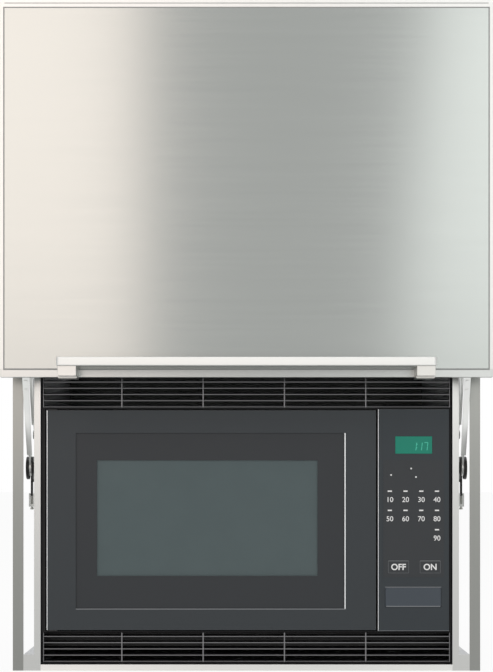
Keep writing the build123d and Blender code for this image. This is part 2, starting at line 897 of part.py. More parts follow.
def door_pan():
    """Folded pan behind the skin, with a slit for each bracket."""
    wall = panel_sheet_pan
    low, high = lip_z, lip_z + panel_height
    shape = block(-panel_half, panel_half, pan_front, panel_back, low, high)
    shape -= block(
        -panel_half + wall, panel_half - wall, pan_front + wall, panel_back - wall, low + wall, high - wall
    )
    reach = panel_half - skin_margin_side - pan_flange
    low_edge = low + skin_margin_bottom + pan_flange
    high_edge = high - skin_margin_top - pan_flange
    shape -= block(-reach, reach, pan_front - 1, pan_front + wall + 1, low_edge, high_edge)
    for side in (-1, 1):
        x0 = side * (bracket_in - slit_gap)
        x1 = side * (bracket_out + slit_gap)
        z0, z1 = bracket_low - slit_gap, bracket_high + slit_gap
        shape -= block(x0, x1, panel_back - wall - 1, panel_back + 1, z0, z1)
    return shape


def door_skin():
    """Brushed sheet on the front of the pan."""
    half = panel_half - skin_margin_side
    low = lip_z + skin_margin_bottom
    high = lip_z + panel_height - skin_margin_top
    return block(-half, half, panel_front, pan_front, low, high)


def handle_bar():
    """Flat bar with bevelled ends."""
    half = handle_length / 2
    back = panel_front - handle_standoff
    low = lip_z + handle_bar_bottom
    bar = block(-half, half, back - handle_bar_depth, back, low, low + handle_height)
    return chamfer(bar.edges().filter_by(Axis.Z), handle_chamfer)


def handle_post():
    """Block between the panel and one end of the bar; it hangs a little below the panel."""
    outer = handle_length / 2 - handle_post_inset
    inner = outer - handle_post_width
    low = lip_z - handle_post_drop
    high = low + handle_post_height
    bar_low = lip_z + handle_bar_bottom
    back = panel_front - handle_standoff
    post = block(inner, outer, back, panel_front, low, high)
    post += block(inner, outer, panel_front, pan_front, low, lip_z + skin_margin_bottom)
    front = back - handle_bar_depth + handle_post_setback
    post += block(inner, outer, front, back, low + handle_post_step, bar_low)
    return post


# ---- oven door ----
def oven_door_frame():
    """Moulded shell with a recessed bezel, a window hole and a bored block at each hinge."""
    face = oven_setback
    back = face + door_depth - door_back_gap
    shell = block(door_left, door_right, face, back, door_bottom, door_top)
    inside = liner_front
    shell -= block(
        door_left + door_wall, door_right - door_wall, face + door_wall + bezel_recess, back + 1,
        door_bottom + door_wall, door_top - door_wall,
    )
    x0, x1 = face_left + bezel_left, door_right - bezel_right
    z0, z1 = oven_bottom + bezel_bottom, oven_top - bezel_top
    shell -= block(x0, x1, face - 1, face + bezel_recess, z0, z1)
    shell -= window_block(face - 1, inside, 0)
    inset = hinge_block_inset
    x0, x1 = door_left + inset, hinge_x + hinge_block_reach
    for low in (door_bottom, door_top - hinge_block_height):
        shell += block(x0, x1, face + inset, inside - inset, low, low + hinge_block_height)
    for low, high in hinge_pin_spans():
        shell -= rod_z(hinge_x, hinge_depth, low, high, hinge_pin_radius + running_clearance)
    front_edges = shell.edges().filter_by(Axis.Z).group_by(Axis.Y)[0]
    return shell.fillet(door_corner_radius, front_edges.sort_by(Axis.X)[:1])


def window_block(d0, d1, lap):
    """The window's outline between two depths, widened by lap."""
    half, rise = window_half + lap, window_rise + lap
    return block(window_x - half, window_x + half, d0, d1, window_z - rise, window_z + rise)


def hinge_pin_spans():
    """Low and high ends of the holes for the hinge pins, with a little room past each pin."""
    reach = hinge_pin_length + hinge_pin_room
    return (door_bottom - 1, door_bottom + reach), (door_top - reach, door_top + 1)


def oven_door_window():
    """Glass pane behind the bezel."""
    front = oven_setback + door_wall + bezel_recess
    return window_block(front, front + window_glass, window_lap)


def around_mouth(lap, d0, d1):
    """A box between two depths over the cavity's mouth, widened by lap."""
    x0, x1 = cavity_left - lap, cavity_right + lap
    return block(x0, x1, d0, d1, cavity_bottom - lap, cavity_top + lap)


def oven_door_liner():
    """Pressed inner panel: holed screen behind the glass, choke channel round it, flat rim at the back."""
    wall = liner_sheet
    x0, x1 = door_left + door_wall + liner_gap, door_right - door_wall - liner_gap
    z0, z1 = door_bottom + door_wall + liner_gap, door_top - door_wall - liner_gap
    front, back = liner_front, liner_front + liner_thickness
    rim = block(x0, x1, back - wall, back, z0, z1) - around_mouth(-choke_channel, back - 2 * wall, back + 1)
    screen = around_mouth(choke_lap + choke_channel, front, front + wall)
    outer = choke_lap + choke_channel
    channel = around_mouth(outer, front, back) - around_mouth(outer - wall, front - 1, back + 1)
    inner = around_mouth(wall - choke_channel, front, back)
    inner -= around_mouth(-choke_channel, front - 1, back + 1)
    panel = rim + screen + channel + inner
    groove = around_mouth(choke_lap, back - 2 * wall, back + 1)
    panel -= groove - around_mouth(choke_lap - choke_groove, back - 3 * wall, back + 2)
    columns, rows = screen_holes
    turn = Pos(window_x, front_y + front + wall / 2, window_z) * Rot(90, 0, 0)
    for place in GridLocations(2 * window_half / columns, 2 * window_rise / rows, columns, rows):
        panel -= turn * place * Cylinder(screen_hole_radius, 3 * wall)
    return panel


def latch_hooks():
    """Two barbed hooks on the back of the oven door."""
    back = liner_front + liner_thickness
    hooks = []
    for side in (-1, 1):
        z = hook_z + side * hook_spacing / 2
        half = hook_height / 2
        x0, x1 = hook_x - hook_thickness / 2, hook_x + hook_thickness / 2
        end = back + hook_length
        hook = block(x0, x1, back, end, z - half, z + half - hook_barb)
        hook += block(x0, x1, end - hook_barb_length, end, z - half, z + half)
        hooks.append(hook)
    return hooks


def oven_hinges():
    """Bracket and pin at the top and the bottom of the oven door."""
    low = oven_bottom + fit_gap
    high = oven_top - fit_gap
    x0, x1 = hinge_x - hinge_leaf_left, hinge_x + hinge_leaf_right
    front = hinge_depth - hinge_leaf_front
    lower = block(x0, x1, front, plate_depth, low, low + hinge_sheet)
    lower += rod_z(hinge_x, hinge_depth, low, door_bottom + hinge_pin_length, hinge_pin_radius)
    upper = block(x0, x1, front, plate_depth, high - hinge_sheet, high)
    upper += rod_z(hinge_x, hinge_depth, door_top - hinge_pin_length, high, hinge_pin_radius)
    return [lower, upper]


# ---- oven body ----
def oven_front_plate():
    """Face plate round the cavity's mouth, with slots for the latch hooks."""
    left, right = face_left + front_plate_inset, face_right - front_plate_inset
    low, high = oven_bottom + fit_gap, oven_top - fit_gap
    plate = block(left, right, plate_depth, plate_depth + front_plate_sheet, low, high)
    plate -= block(cavity_left, cavity_right, plate_depth - 1, cavity_front + 1, cavity_bottom, cavity_top)
    for side in (-1, 1):
        z = hook_z + side * hook_spacing / 2
        half = hook_slot_tall / 2
        middle = hook_x + hook_slot_shift
        x0, x1 = middle - hook_slot_wide / 2, middle + hook_slot_wide / 2
        plate -= block(x0, x1, plate_depth - 1, cavity_front + 1, z - half, z + half)
    x0, x1 = control_left + front_plate_window_side, face_right - front_plate_window_side
    z0, z1 = oven_bottom + front_plate_window_end, oven_top - front_plate_window_end
    plate -= block(x0, x1, plate_depth - 1, cavity_front + 1, z0, z1)
    return plate + lever_bracket()


def oven_cavity():
    """Cooking chamber, open at the front, with a hole for the turntable shaft."""
    s = cavity_sheet
    outer = block(
        cavity_left - s, cavity_right + s, cavity_front, cavity_front + cavity_depth + s,
        cavity_bottom - s, cavity_top + s,
    )
    outer -= block(
        cavity_left, cavity_right, cavity_front - 1, cavity_front + cavity_depth, cavity_bottom, cavity_top
    )
    hole = turntable_shaft_radius + shaft_hole_room
    outer -= rod_z(cavity_mid_x, cavity_mid_depth, cavity_bottom - s - 1, cavity_bottom + 1, hole)
    wide, tall = waveguide_cover_size
    z = (cavity_bottom + cavity_top) / 2 + waveguide_rise
    reach = wide / 2 - waveguide_lap
    rise = tall / 2 - waveguide_lap
    outer -= block(
        cavity_right - 1, cavity_right + s + 1, cavity_mid_depth - reach, cavity_mid_depth + reach,
        z - rise, z + rise,
    )
    return outer


def oven_case():
    """Wrapped cover: sides, top and back of the oven."""
    s = case_sheet
    start = plate_depth + front_plate_sheet
    cover = block(case_left, case_right, start, case_back, case_bottom, case_top)
    cover -= block(case_left + s, case_right - s, start - 1, case_back - s, case_bottom - 1, case_top - s)
    low, high = fan_z - case_vent_rise, fan_z + case_vent_rise
    for x in vent_places(bay_x - case_vent_reach[0], bay_x + case_vent_reach[1]):
        cover -= block(x, x + vent_slot[0], case_back - s - 1, case_back + 1, low, high)
    cover -= rod_y(bay_x, case_back - s - 1, case_back + 1, gland_z, gland_radius)
    return cover


def oven_base():
    """Chassis floor inside the cover."""
    start = plate_depth + front_plate_sheet
    x0, x1 = case_left + case_sheet, case_right - case_sheet
    return block(x0, x1, start, case_back - case_sheet, case_bottom, case_bottom + case_sheet)


def oven_feet():
    """Four rubber feet between the chassis and the shelf."""
    feet = []
    for x in (case_left + foot_inset, case_right - foot_inset):
        for depth in (shelf_front_depth + foot_front, case_back - foot_inset):
            feet.append(rod_z(x, depth, shelf_top, case_bottom, foot_radius))
    return feet


def cord_gland():
    """Flanged bush for the supply cord, which itself is left out."""
    start, end = case_back - gland_inside, case_back + gland_outside
    bush = rod_y(bay_x, start, end, gland_z, gland_radius - running_clearance)
    bush += rod_y(bay_x, case_back, case_back + gland_flange, gland_z, gland_flange_radius)
    return bush - rod_y(bay_x, start - 1, end + 1, gland_z, cord_bore_radius)


# ---- controls ----
def control_panel():
    """Moulded shell beside the oven door, with holes for the display and the button."""
    face = oven_setback
    low, high = oven_bottom + fit_gap, oven_top - fit_gap
    shell = block(control_left, face_right, face, plate_depth, low, high)
    shell -= block(
        control_left + door_wall, face_right - door_wall, face + door_wall, plate_depth + 1,
        low + door_wall, high - door_wall,
    )
    shell -= display_block(face - 1, face + door_wall + 1, fit_gap)
    shell -= button_block(face - 1, face + door_wall + 1, button_clearance)
    end = face + button_depth - button_travel
    guide = button_block(face + door_wall, end, button_clearance + button_guide_wall)
    shell += guide - button_block(face, end + 1, button_clearance)
    end = face + door_wall + display_rest
    rest = display_block(face + display_thickness, end, display_rest_lap)
    shell += rest - display_block(face, end + 1, -display_rest_lap)
    return shell


def display_block(d0, d1, lap):
    """The display's outline between two depths, widened by lap."""
    x0 = control_left + display_left - lap
    z0 = display_low - lap
    return block(x0, x0 + display_width + 2 * lap, d0, d1, z0, z0 + display_height + 2 * lap)


def button_block(d0, d1, lap):
    """The door-open button's outline between two depths, widened by lap."""
    x0 = control_left + button_left - lap
    z0 = oven_bottom + button_bottom - lap
    return block(x0, x0 + button_width + 2 * lap, d0, d1, z0, z0 + button_height + 2 * lap)


def display_window():
    """Tinted pane in front of the digits."""
    return display_block(oven_setback + display_recess, oven_setback + display_thickness, 0)


def keypad():
    """Membrane sheet with raised keys, three round icons and two wide pads."""
    face = oven_setback
    rows = [oven_top - drop for drop in key_row_drops]
    columns = [control_left + key_first_column + i * key_column_pitch for i in range(key_columns)]
    places = [(x, z) for x in columns for z in rows]
    places.append((columns[-1], oven_top - last_key_drop))
    pad_low = oven_bottom + button_bottom + button_height + pad_rise
    left = columns[0] - key_size[0] / 2 - keypad_margin / 2
    right = columns[-1] + key_size[0] / 2 + keypad_margin / 2
    low = pad_low - keypad_margin
    high = oven_top - min(drop for x, drop in icon_places) + icon_radius + keypad_margin / 2
    sheet = block(left, right, face - keypad_sheet, face, low, high)
    front = face - keypad_sheet - key_rise
    wide, tall = key_size
    for x, z in places:
        sheet += block(x - wide / 2, x + wide / 2, front, face, z - tall / 2, z + tall / 2)
    for x, drop in icon_places:
        sheet += rod_y(control_left + x, front, face, oven_top - drop, icon_radius)
    for x in pad_lefts:
        x0 = control_left + x
        sheet += block(x0, x0 + pad_size[0], front, face, pad_low, pad_low + pad_size[1])
    return sheet


def control_board():
    """Circuit board on posts inside the control panel, clear of the button."""
    face = oven_setback
    depth = face + board_depth
    low = oven_bottom + button_bottom + button_height + board_above_button
    high = oven_top - board_below_top
    left, right = control_left + board_side_gap, face_right - board_side_gap
    board = block(left, right, depth, depth + board_thickness, low, high)
    x0 = control_left + display_left
    display_high = display_low + display_height
    board += block(x0, x0 + display_width, depth - display_module_depth, depth, display_low, display_high)
    for x in (control_left + board_post_inset, face_right - board_post_inset):
        for z in (low + board_post_margin, high - board_post_margin):
            board += rod_y(x, face + door_wall, depth, z, board_post_radius)
    return board


def door_open_button():
    """Wide push button with a stem that works the release lever."""
    front = oven_setback - button_proud
    cap = button_block(front, front + button_depth, 0)
    cap -= button_block(front + button_face_wall, front + button_depth + 1, -button_wall)
    x0, x1 = stem_x - stem_half_width, stem_x + stem_half_width
    z0, z1 = lever_z - stem_half_height, lever_z + stem_half_height
    cap += block(x0, x1, front + stem_root, stem_end, z0, z1)
    return fillet(cap.edges().filter_by(Axis.Y).group_by(Axis.Y)[0], button_corner_radius)


def release_lever():
    """Flat lever that the button's stem pushes at one end; it turns on an upright pin."""
    low, high = lever_z - lever_height / 2, lever_z + lever_height / 2
    depth = lever_front + lever_thickness / 2
    end = stem_x - lever_overhang
    lever = block(end, lever_pivot_x, lever_front, lever_front + lever_thickness, low, high)
    lever += rod_z(lever_pivot_x, depth, low, high, lever_pin_radius + lever_hub_wall)
    return lever - rod_z(lever_pivot_x, depth, low - 1, high + 1, lever_pin_radius + running_clearance)


def lever_bracket():
    """Bracket welded to the face plate, with the release lever's pin."""
    half = lever_height / 2 + lever_end_gap
    low, high = lever_z - half, lever_z + half
    depth = lever_front + lever_thickness / 2
    front = depth - lever_leaf_front
    x0, x1 = lever_pivot_x - lever_leaf_left, face_right - lever_leaf_side_gap
    bracket = block(x0, x1, front, plate_depth, low - lever_leaf, low)
    bracket += block(x0, x1, front, plate_depth, high, high + lever_leaf)
    bracket += block(lever_pivot_x + lever_web_start, x1, plate_depth - lever_leaf, plate_depth, low, high)
    return bracket + rod_z(lever_pivot_x, depth, low, high, lever_pin_radius)


def interlock_switches():
    """Three small switches on a plate behind the hook slots."""
    wide, deep, tall = switch_size
    x0 = hook_x + hook_slot_wide / 2 + switch_plate_gap
    x1 = x0 + switch_plate_sheet
    reach = hook_spacing / 2 + switch_plate_margin
    low, high = hook_z - reach, hook_z + reach
    plate = block(x0, x1, cavity_front, cavity_front + switch_plate_depth, low, high)
    front = cavity_front + switch_margin
    for z in (low + switch_margin, hook_z - tall / 2, high - switch_margin - tall):
        plate += block(x1, x1 + wide, front, front + deep, z, z + tall)
        plate += rod_x(x0 - plunger_reach, x0, front + plunger_place, z + tall / 2, plunger_radius)
    return plate


# ---- power and cooling ----
def magnetron():
    """Finned body on the cavity's right wall."""
    wide, deep, tall = magnetron_size
    z = (cavity_bottom + cavity_top) / 2 + waveguide_rise
    x0 = cavity_right + cavity_sheet
    x1 = min(x0 + wide, case_right - case_sheet - bay_gap)
    d0, d1 = cavity_mid_depth - deep / 2, cavity_mid_depth + deep / 2
    low, high = z - tall / 2, z + tall / 2
    root = x0 + magnetron_block
    body = block(x0, root, d0, d1, low, high)
    core = rod_x(root, x1, cavity_mid_depth, z, magnetron_core_radius)
    gap = (x1 - root) / magnetron_fins
    inset = magnetron_fin_inset
    for i in range(magnetron_fins):
        x = root + (i + magnetron_fin_shift) * gap
        core += block(x, x + magnetron_fin_sheet, d0 + inset, d1 - inset, low + inset, high - inset)
    return body + core


def transformer():
    """Laminated core with a winding on each side, standing on the chassis floor."""
    wide, deep, tall = transformer_size
    half = min(wide, case_right - cavity_right - 2 * bay_gap) / 2
    z0 = case_bottom + case_sheet
    z1 = z0 + tall
    d0 = cavity_front + transformer_setback
    d1 = d0 + deep
    core = block(bay_x - half, bay_x + half, d0 + winding_proud, d1 - winding_proud, z0, z1)
    reach = half - winding_inset
    return core + block(bay_x - reach, bay_x + reach, d0, d1, z0 + winding_inset, z1 - winding_inset)


def capacitor():
    """Can that lies on the chassis floor behind the transformer."""
    z = case_bottom + case_sheet + capacitor_radius
    d0 = cavity_front + transformer_setback + transformer_size[1] + capacitor_gap
    can = rod_y(bay_x, d0, d0 + capacitor_length, z, capacitor_radius)
    for x in (bay_x - tag_place, bay_x + tag_place):
        can += rod_y(x, d0 - tag_length, d0, z, tag_radius)
    return can


def fan_motor():
    """Motor on a cross bracket in front of the rear vents, with its shaft through the blade."""
    x = bay_x
    back = case_back - case_sheet
    reach = (case_right - case_sheet - cavity_right - cavity_sheet - fan_bracket_room) / 2
    size, deep = fan_motor_size
    half = size / 2
    rear = back - fan_motor_gap
    body = block(x - half, x + half, rear - deep, rear, fan_z - half, fan_z + half)
    sheet = fan_bracket_sheet
    low, high = fan_z - fan_bracket_half, fan_z + fan_bracket_half
    bracket = block(x - reach, x + reach, rear - sheet, rear, low, high)
    for side in (-1, 1):
        edge = x + side * reach
        bracket += block(edge - side * sheet, edge, rear - sheet, back, low, high)
    shaft = rod_y(x, fan_front - fan_shaft_end, rear - deep, fan_z, fan_shaft_radius)
    return body + bracket + shaft


def fan_blade():
    """Hub with pitched blades."""
    hub = rod_y(bay_x, fan_front, fan_front + fan_depth, fan_z, fan_hub_radius)
    middle = front_y + fan_front + fan_depth / 2
    root = fan_hub_radius - fan_blade_root
    length = fan_radius - root
    sheet = Box(fan_blade_width, fan_blade_sheet, length)
    for i in range(fan_blades):
        blade = Pos(0, 0, root + length / 2) * Rot(0, 0, fan_blade_pitch) * sheet
        hub += Pos(bay_x, middle, fan_z) * Rot(0, i * 360 / fan_blades, 0) * blade
    bore = fan_shaft_radius + running_clearance
    return hub - rod_y(bay_x, fan_front - 1, fan_front + fan_depth + 1, fan_z, bore)


def waveguide_cover():
    """Thin mica plate on the inside of the cavity's right wall."""
    wide, tall = waveguide_cover_size
    z = (cavity_bottom + cavity_top) / 2 + waveguide_rise
    d0, d1 = cavity_mid_depth - wide / 2, cavity_mid_depth + wide / 2
    return block(cavity_right - waveguide_cover_sheet, cavity_right, d0, d1, z - tall / 2, z + tall / 2)


def cavity_lamp():
    """Bulb and holder on top of the cavity, near its right wall."""
    z0 = cavity_top + cavity_sheet
    x = cavity_right - lamp_from_right
    depth = cavity_front + lamp_from_front
    socket = z0 + lamp_holder_height
    end = min(z0 + lamp_length, case_top - lamp_top_gap)
    return rod_z(x, depth, z0, socket, lamp_radius) + rod_z(x, depth, socket, end, bulb_radius)


# ---- turntable ----
def turntable_motor():
    """Flat motor under the cavity, with its shaft up through the floor."""
    top = cavity_bottom - cavity_sheet
    body = rod_z(cavity_mid_x, cavity_mid_depth, top - motor_height, top, motor_radius)
    end = cavity_bottom + turntable_shaft_rise
    return body + rod_z(cavity_mid_x, cavity_mid_depth, top, end, turntable_shaft_radius)


def turntable_coupler():
    """Three-winged driver on the motor's shaft; its wings reach the tray's underside."""
    x, depth = cavity_mid_x, cavity_mid_depth
    low = cavity_bottom + side_clearance
    high = low + coupler_height
    hub = rod_z(x, depth, low, high, turntable_shaft_radius + coupler_hub_wall)
    wing = Pos(coupler_radius / 2, 0, 0) * Box(coupler_radius, coupler_wing, coupler_height)
    for i in range(coupler_wings):
        turn = Rot(0, 0, (i + 0.5) * 360 / coupler_wings)
        hub += Pos(x, front_y + depth, (low + high) / 2) * turn * wing
    end = cavity_bottom + turntable_shaft_rise + coupler_bore_room
    return hub - rod_z(x, depth, low - 1, end, turntable_shaft_radius + running_clearance)


def turntable_tray():
    """Glass plate with a raised rim, resting on the rollers and driven by the coupler."""
    z0 = tray_z
    plate = rod_z(cavity_mid_x, cavity_mid_depth, z0, z0 + tray_thickness, tray_radius)
    top = z0 + tray_thickness
    inner = tray_radius - tray_thickness
    rim = rod_z(cavity_mid_x, cavity_mid_depth, top, top + tray_rim, tray_radius)
    rim -= rod_z(cavity_mid_x, cavity_mid_depth, top - 1, top + tray_rim + 1, inner)
    return plate + rim


def roller_places():
    """Angles of the three rollers round the ring."""
    return {"front": -90, "right": 30, "left": 150}


def roller(angle):
    """Plain wheel that rolls on the cavity's floor."""
    wheel = Cylinder(roller_radius - roller_play, roller_width)
    wheel -= Cylinder(roller_bore + running_clearance, roller_width + 2)
    turned = Rot(0, 0, angle) * Pos(roller_path_radius, 0, 0) * Rot(0, 90, 0) * wheel
    return Pos(cavity_mid_x, front_y + cavity_mid_depth, cavity_bottom + roller_radius) * turned


def roller_ring():
    """Ring that keeps the rollers apart, with an axle for each."""
    inner_edge = roller_path_radius - roller_width / 2 - ring_roller_gap
    ring = Torus(inner_edge - ring_wire, ring_wire)
    length = roller_width + axle_spare
    axle = Pos(inner_edge - axle_root + length / 2, 0, 0) * Rot(0, 90, 0) * Cylinder(roller_bore, length)
    cap = Rot(0, 90, 0) * Cylinder(axle_cap_radius, axle_cap)
    cap = Pos(roller_path_radius + roller_width / 2 + axle_cap_gap, 0, 0) * cap
    for angle in roller_places().values():
        ring += Rot(0, 0, angle) * (axle + cap)
    return Pos(cavity_mid_x, front_y + cavity_mid_depth, cavity_bottom + roller_radius) * ring


# ---- small parts ----
def rubber_buffers():
    """Arm stops on the lift plates, and buffers on the top rail for the closed panel."""
    z = opening_top + top_rail / 2
    x = half_width - outer_stile / 2
    face = rod_y(x, fit_gap - panel_back_gap, 0, z, buffer_radius)
    return both_sides(stop_buffer()) + both_sides(face)


def magnet_catches():
    """Magnets in the top rail that hold the panel closed."""
    z = opening_top + top_rail / 2
    wide, tall = magnet_size
    x = magnet_spacing / 2
    low, high = z - tall / 2, z + tall / 2
    magnet = block(x - wide / 2, x + wide / 2, fit_gap - panel_back_gap, magnet_back, low, high)
    reach = wide / 2 + magnet_ear
    magnet += block(x - reach, x + reach, frame_sheet, 2 * frame_sheet, low, high)
    return both_sides(magnet)


def housing_screws():
    """Screws of the lift plates and the two spring adjusters."""
    screws = []
    for depth, z in plate_screws():
        screws += both_sides(plate_screw(depth, z))
    return screws + both_sides(adjuster_screw())


def as_list(made):
    """A single shape or a list of them, as a list."""
    return list(made) if isinstance(made, (list, tuple)) else [made]


parts = {
    "front_frame": front_frame(),
    "base_panel": base_panel(),
    "right_side_panel": side_panel(),
    "left_side_panel": side_panel().mirror(Plane.YZ),
    "top_panel": top_panel(),
    "rear_panel": rear_panel(),
    "oven_shelf": oven_shelf(),
    "trim_surround": trim_surround(),
    "upper_louvre": louvre(lower=False),
    "lower_louvre": louvre(lower=True),
    "lift_plates": both_sides(lift_plate()),
    "pivot_shafts": [piece for shaft in pivot_shafts() for piece in both_sides(shaft)],
    "spring_cases": both_sides(spring_case()),
    "hub_caps": both_sides(hub_cap()),
    "lift_springs": both_sides(lift_spring()),
    "rubber_buffers": rubber_buffers(),
    "magnet_catches": magnet_catches(),
    "housing_screws": housing_screws(),
    "right_lift_arm": lift_arm(),
    "left_lift_arm": lift_arm().mirror(Plane.YZ),
    "right_guide_arm": guide_arm(),
    "left_guide_arm": guide_arm().mirror(Plane.YZ),
    "panel_skin": door_skin(),
    "panel_pan": door_pan(),
    "panel_brackets": both_sides(door_bracket()),
    "panel_pins": [piece for pin in door_pins() for piece in both_sides(pin)],
    "handle_bar": handle_bar(),
    "handle_posts": both_sides(handle_post()),
    "oven_case": oven_case(),
    "oven_base": oven_base(),
    "oven_feet": oven_feet(),
    "oven_front_plate": oven_front_plate(),
    "oven_cavity": oven_cavity(),
    "oven_hinges": oven_hinges(),
    "oven_door_frame": oven_door_frame(),
    "oven_door_window": oven_door_window(),
    "oven_door_liner": oven_door_liner(),
    "latch_hooks": latch_hooks(),
    "control_panel": control_panel(),
    "display_window": display_window(),
    "keypad": keypad(),
    "control_board": control_board(),
    "door_open_button": door_open_button(),
    "release_lever": release_lever(),
    "interlock_switches": interlock_switches(),
    "magnetron": magnetron(),
    "transformer": transformer(),
    "capacitor": capacitor(),
    "fan_motor": fan_motor(),
    "fan_blade": fan_blade(),
    "waveguide_cover": waveguide_cover(),
    "cavity_lamp": cavity_lamp(),
    "cord_gland": cord_gland(),
    "turntable_motor": turntable_motor(),
    "turntable_coupler": turntable_coupler(),
    "turntable_tray": turntable_tray(),
    "roller_ring": roller_ring(),
}
for name, angle in roller_places().items():
    parts["roller_" + name] = roller(angle)

os.makedirs("parts", exist_ok=True)
for name, made in parts.items():
    solids = [solid for piece in as_list(made) for solid in piece.solids()]
    whole = solids[0] if len(solids) == 1 else Compound(children=solids)
    export_step(whole, f"parts/{name}.step")
    print(name, len(solids))
print("nodes", len(parts))
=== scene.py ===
import bmesh
import bpy
import json
import math
from mathutils import Matrix, Vector


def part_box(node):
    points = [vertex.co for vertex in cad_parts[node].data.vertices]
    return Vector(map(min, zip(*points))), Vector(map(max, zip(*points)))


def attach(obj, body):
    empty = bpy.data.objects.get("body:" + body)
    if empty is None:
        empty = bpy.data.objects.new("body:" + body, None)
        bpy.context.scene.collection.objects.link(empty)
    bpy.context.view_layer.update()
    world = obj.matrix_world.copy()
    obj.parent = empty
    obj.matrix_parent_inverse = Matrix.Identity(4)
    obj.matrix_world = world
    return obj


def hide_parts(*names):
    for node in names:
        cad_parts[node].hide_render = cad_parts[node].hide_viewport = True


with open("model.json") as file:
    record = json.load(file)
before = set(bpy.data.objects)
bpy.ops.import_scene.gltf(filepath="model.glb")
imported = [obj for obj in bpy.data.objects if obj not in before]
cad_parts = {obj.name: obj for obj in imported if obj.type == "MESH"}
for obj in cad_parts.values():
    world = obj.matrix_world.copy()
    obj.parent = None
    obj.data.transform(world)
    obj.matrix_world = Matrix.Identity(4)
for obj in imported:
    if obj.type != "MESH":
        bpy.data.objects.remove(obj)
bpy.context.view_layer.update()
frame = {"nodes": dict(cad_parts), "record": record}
print("frame loaded:", len(frame["nodes"]), "nodes")

record = frame["record"]
bodyOf = {node: body for body, nodes in record["behaviour"]["bodies"].items() for node in nodes}
slotOf = {row["node"]: row["material_slot"] for row in record["subparts"]}
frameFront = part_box("front_frame")[0].y
white = (1.0, 1.0, 1.0, 1.0)


class Wire:
    # one output of a node; arithmetic on it adds Math nodes
    def __init__(self, nodes, socket):
        self.nodes = nodes
        self.socket = socket

    def maths(self, operation, first, second):
        return self.nodes.add("ShaderNodeMath", {"operation": operation}, {0: first, 1: second})

    def __add__(self, other):
        return self.maths("ADD", self, other)

    def __sub__(self, other):
        return self.maths("SUBTRACT", self, other)

    def __rsub__(self, other):
        return self.maths("SUBTRACT", other, self)

    def __mul__(self, other):
        return self.maths("MULTIPLY", self, other)

    def highest(self, other):
        return self.maths("MAXIMUM", self, other)

    def above(self, edge):
        return self.maths("GREATER_THAN", self, edge)

    __radd__ = __add__
    __rmul__ = __mul__


class Nodes:
    # a node tree and the ways this script adds to it
    def __init__(self, tree):
        self.tree = tree

    def feed(self, node, inputs):
        for key, value in inputs.items():
            if isinstance(value, Wire):
                self.tree.links.new(value.socket, node.inputs[key])
            else:
                node.inputs[key].default_value = value

    def add(self, kind, settings, inputs, output=0):
        node = self.tree.nodes.new(kind)
        for key, value in settings.items():
            setattr(node, key, value)
        self.feed(node, inputs)
        return Wire(self, node.outputs[output]) if node.outputs else node

    def seen(self):
        # 1 for rays that show the background: straight, mirrored or through glass
        rays = [self.add("ShaderNodeLightPath", {}, {}, kind) for kind in
                ("Is Camera Ray", "Is Glossy Ray", "Is Transmission Ray")]
        return rays[0].highest(rays[1]).highest(rays[2])


class Finish(Nodes):
    # a Principled material; look holds its fixed values
    def __init__(self, name, look):
        self.material = bpy.data.materials.new(name)
        self.material.use_nodes = True
        super().__init__(self.material.node_tree)
        self.shader = self.tree.nodes["Principled BSDF"]
        self.colour = look["colour"]
        self.rough = look["rough"]
        self.set({"Base Color": (*self.colour, 1), "Roughness": self.rough})
        self.set({"Metallic": look.get("metal", 0.0)})
        self.set({key: value for key, value in look.items() if key[0].isupper()})
        self.place = self.add("ShaderNodeTexCoord", {}, {}, "Object")

    def set(self, inputs):
        self.feed(self.shader, inputs)

    def noise(self, stretch, detail=2.0, roughness=0.5):
        # cloud pattern; stretch holds the patches per metre along each axis
        spot = self.add("ShaderNodeMapping", {}, {"Vector": self.place, "Scale": stretch})
        settings = {"Vector": spot, "Scale": 1.0, "Detail": detail, "Roughness": roughness}
        return self.add("ShaderNodeTexNoise", {}, settings, "Fac")

    def cells(self, perMetre, output="Color"):
        return self.add("ShaderNodeTexVoronoi", {}, {"Vector": self.place, "Scale": perMetre}, output)

    def mix(self, factor, first, second):
        return self.add("ShaderNodeMix", {"data_type": "RGBA"}, {0: factor, 6: first, 7: second}, 2)

    def shades(self, factor, dark, light):
        # the finish's own colour, from dark times it to light times it
        ends = [(*[min(1.0, c * k) for c in self.colour], 1) for k in (dark, light)]
        self.set({"Base Color": self.mix(factor, *ends)})

    def relief(self, height, depth, strength=1.0):
        settings = {"Height": height, "Distance": depth, "Strength": strength}
        self.set({"Normal": self.add("ShaderNodeBump", {}, settings)})


def brushed(name, look):
    # sheet steel with scratches along one axis; far, wide and fine are patches per metre
    finish = Finish(name, look)
    far, wide, fine = look["far"], look["wide"], look["fine"]
    lines = {"x": (far, wide, fine), "z": (fine, wide, far), "y": (wide, far, fine)}[look["along"]]
    streakLines = tuple(v if v == far else v * look["streakShare"] for v in lines)
    grain = finish.noise(lines, detail=3.0, roughness=0.6)
    streaks = finish.noise(streakLines)
    cloud = finish.noise(look["cloud"], detail=3.0)
    mixed = grain * look["grainMix"] + streaks * look["streakMix"] + cloud * look["cloudMix"]
    finish.shades(mixed, 1 - look["contrast"], 1 + look["contrast"])
    finish.set({"Roughness": look["rough"] + (streaks - 0.5) * look["roughSpread"]})
    finish.relief(grain + streaks * 0.5, look["scratch"])
    finish.set({"Anisotropic Rotation": look["quarterTurn"] if look["along"] == "x" else 0.0})
    return finish.material


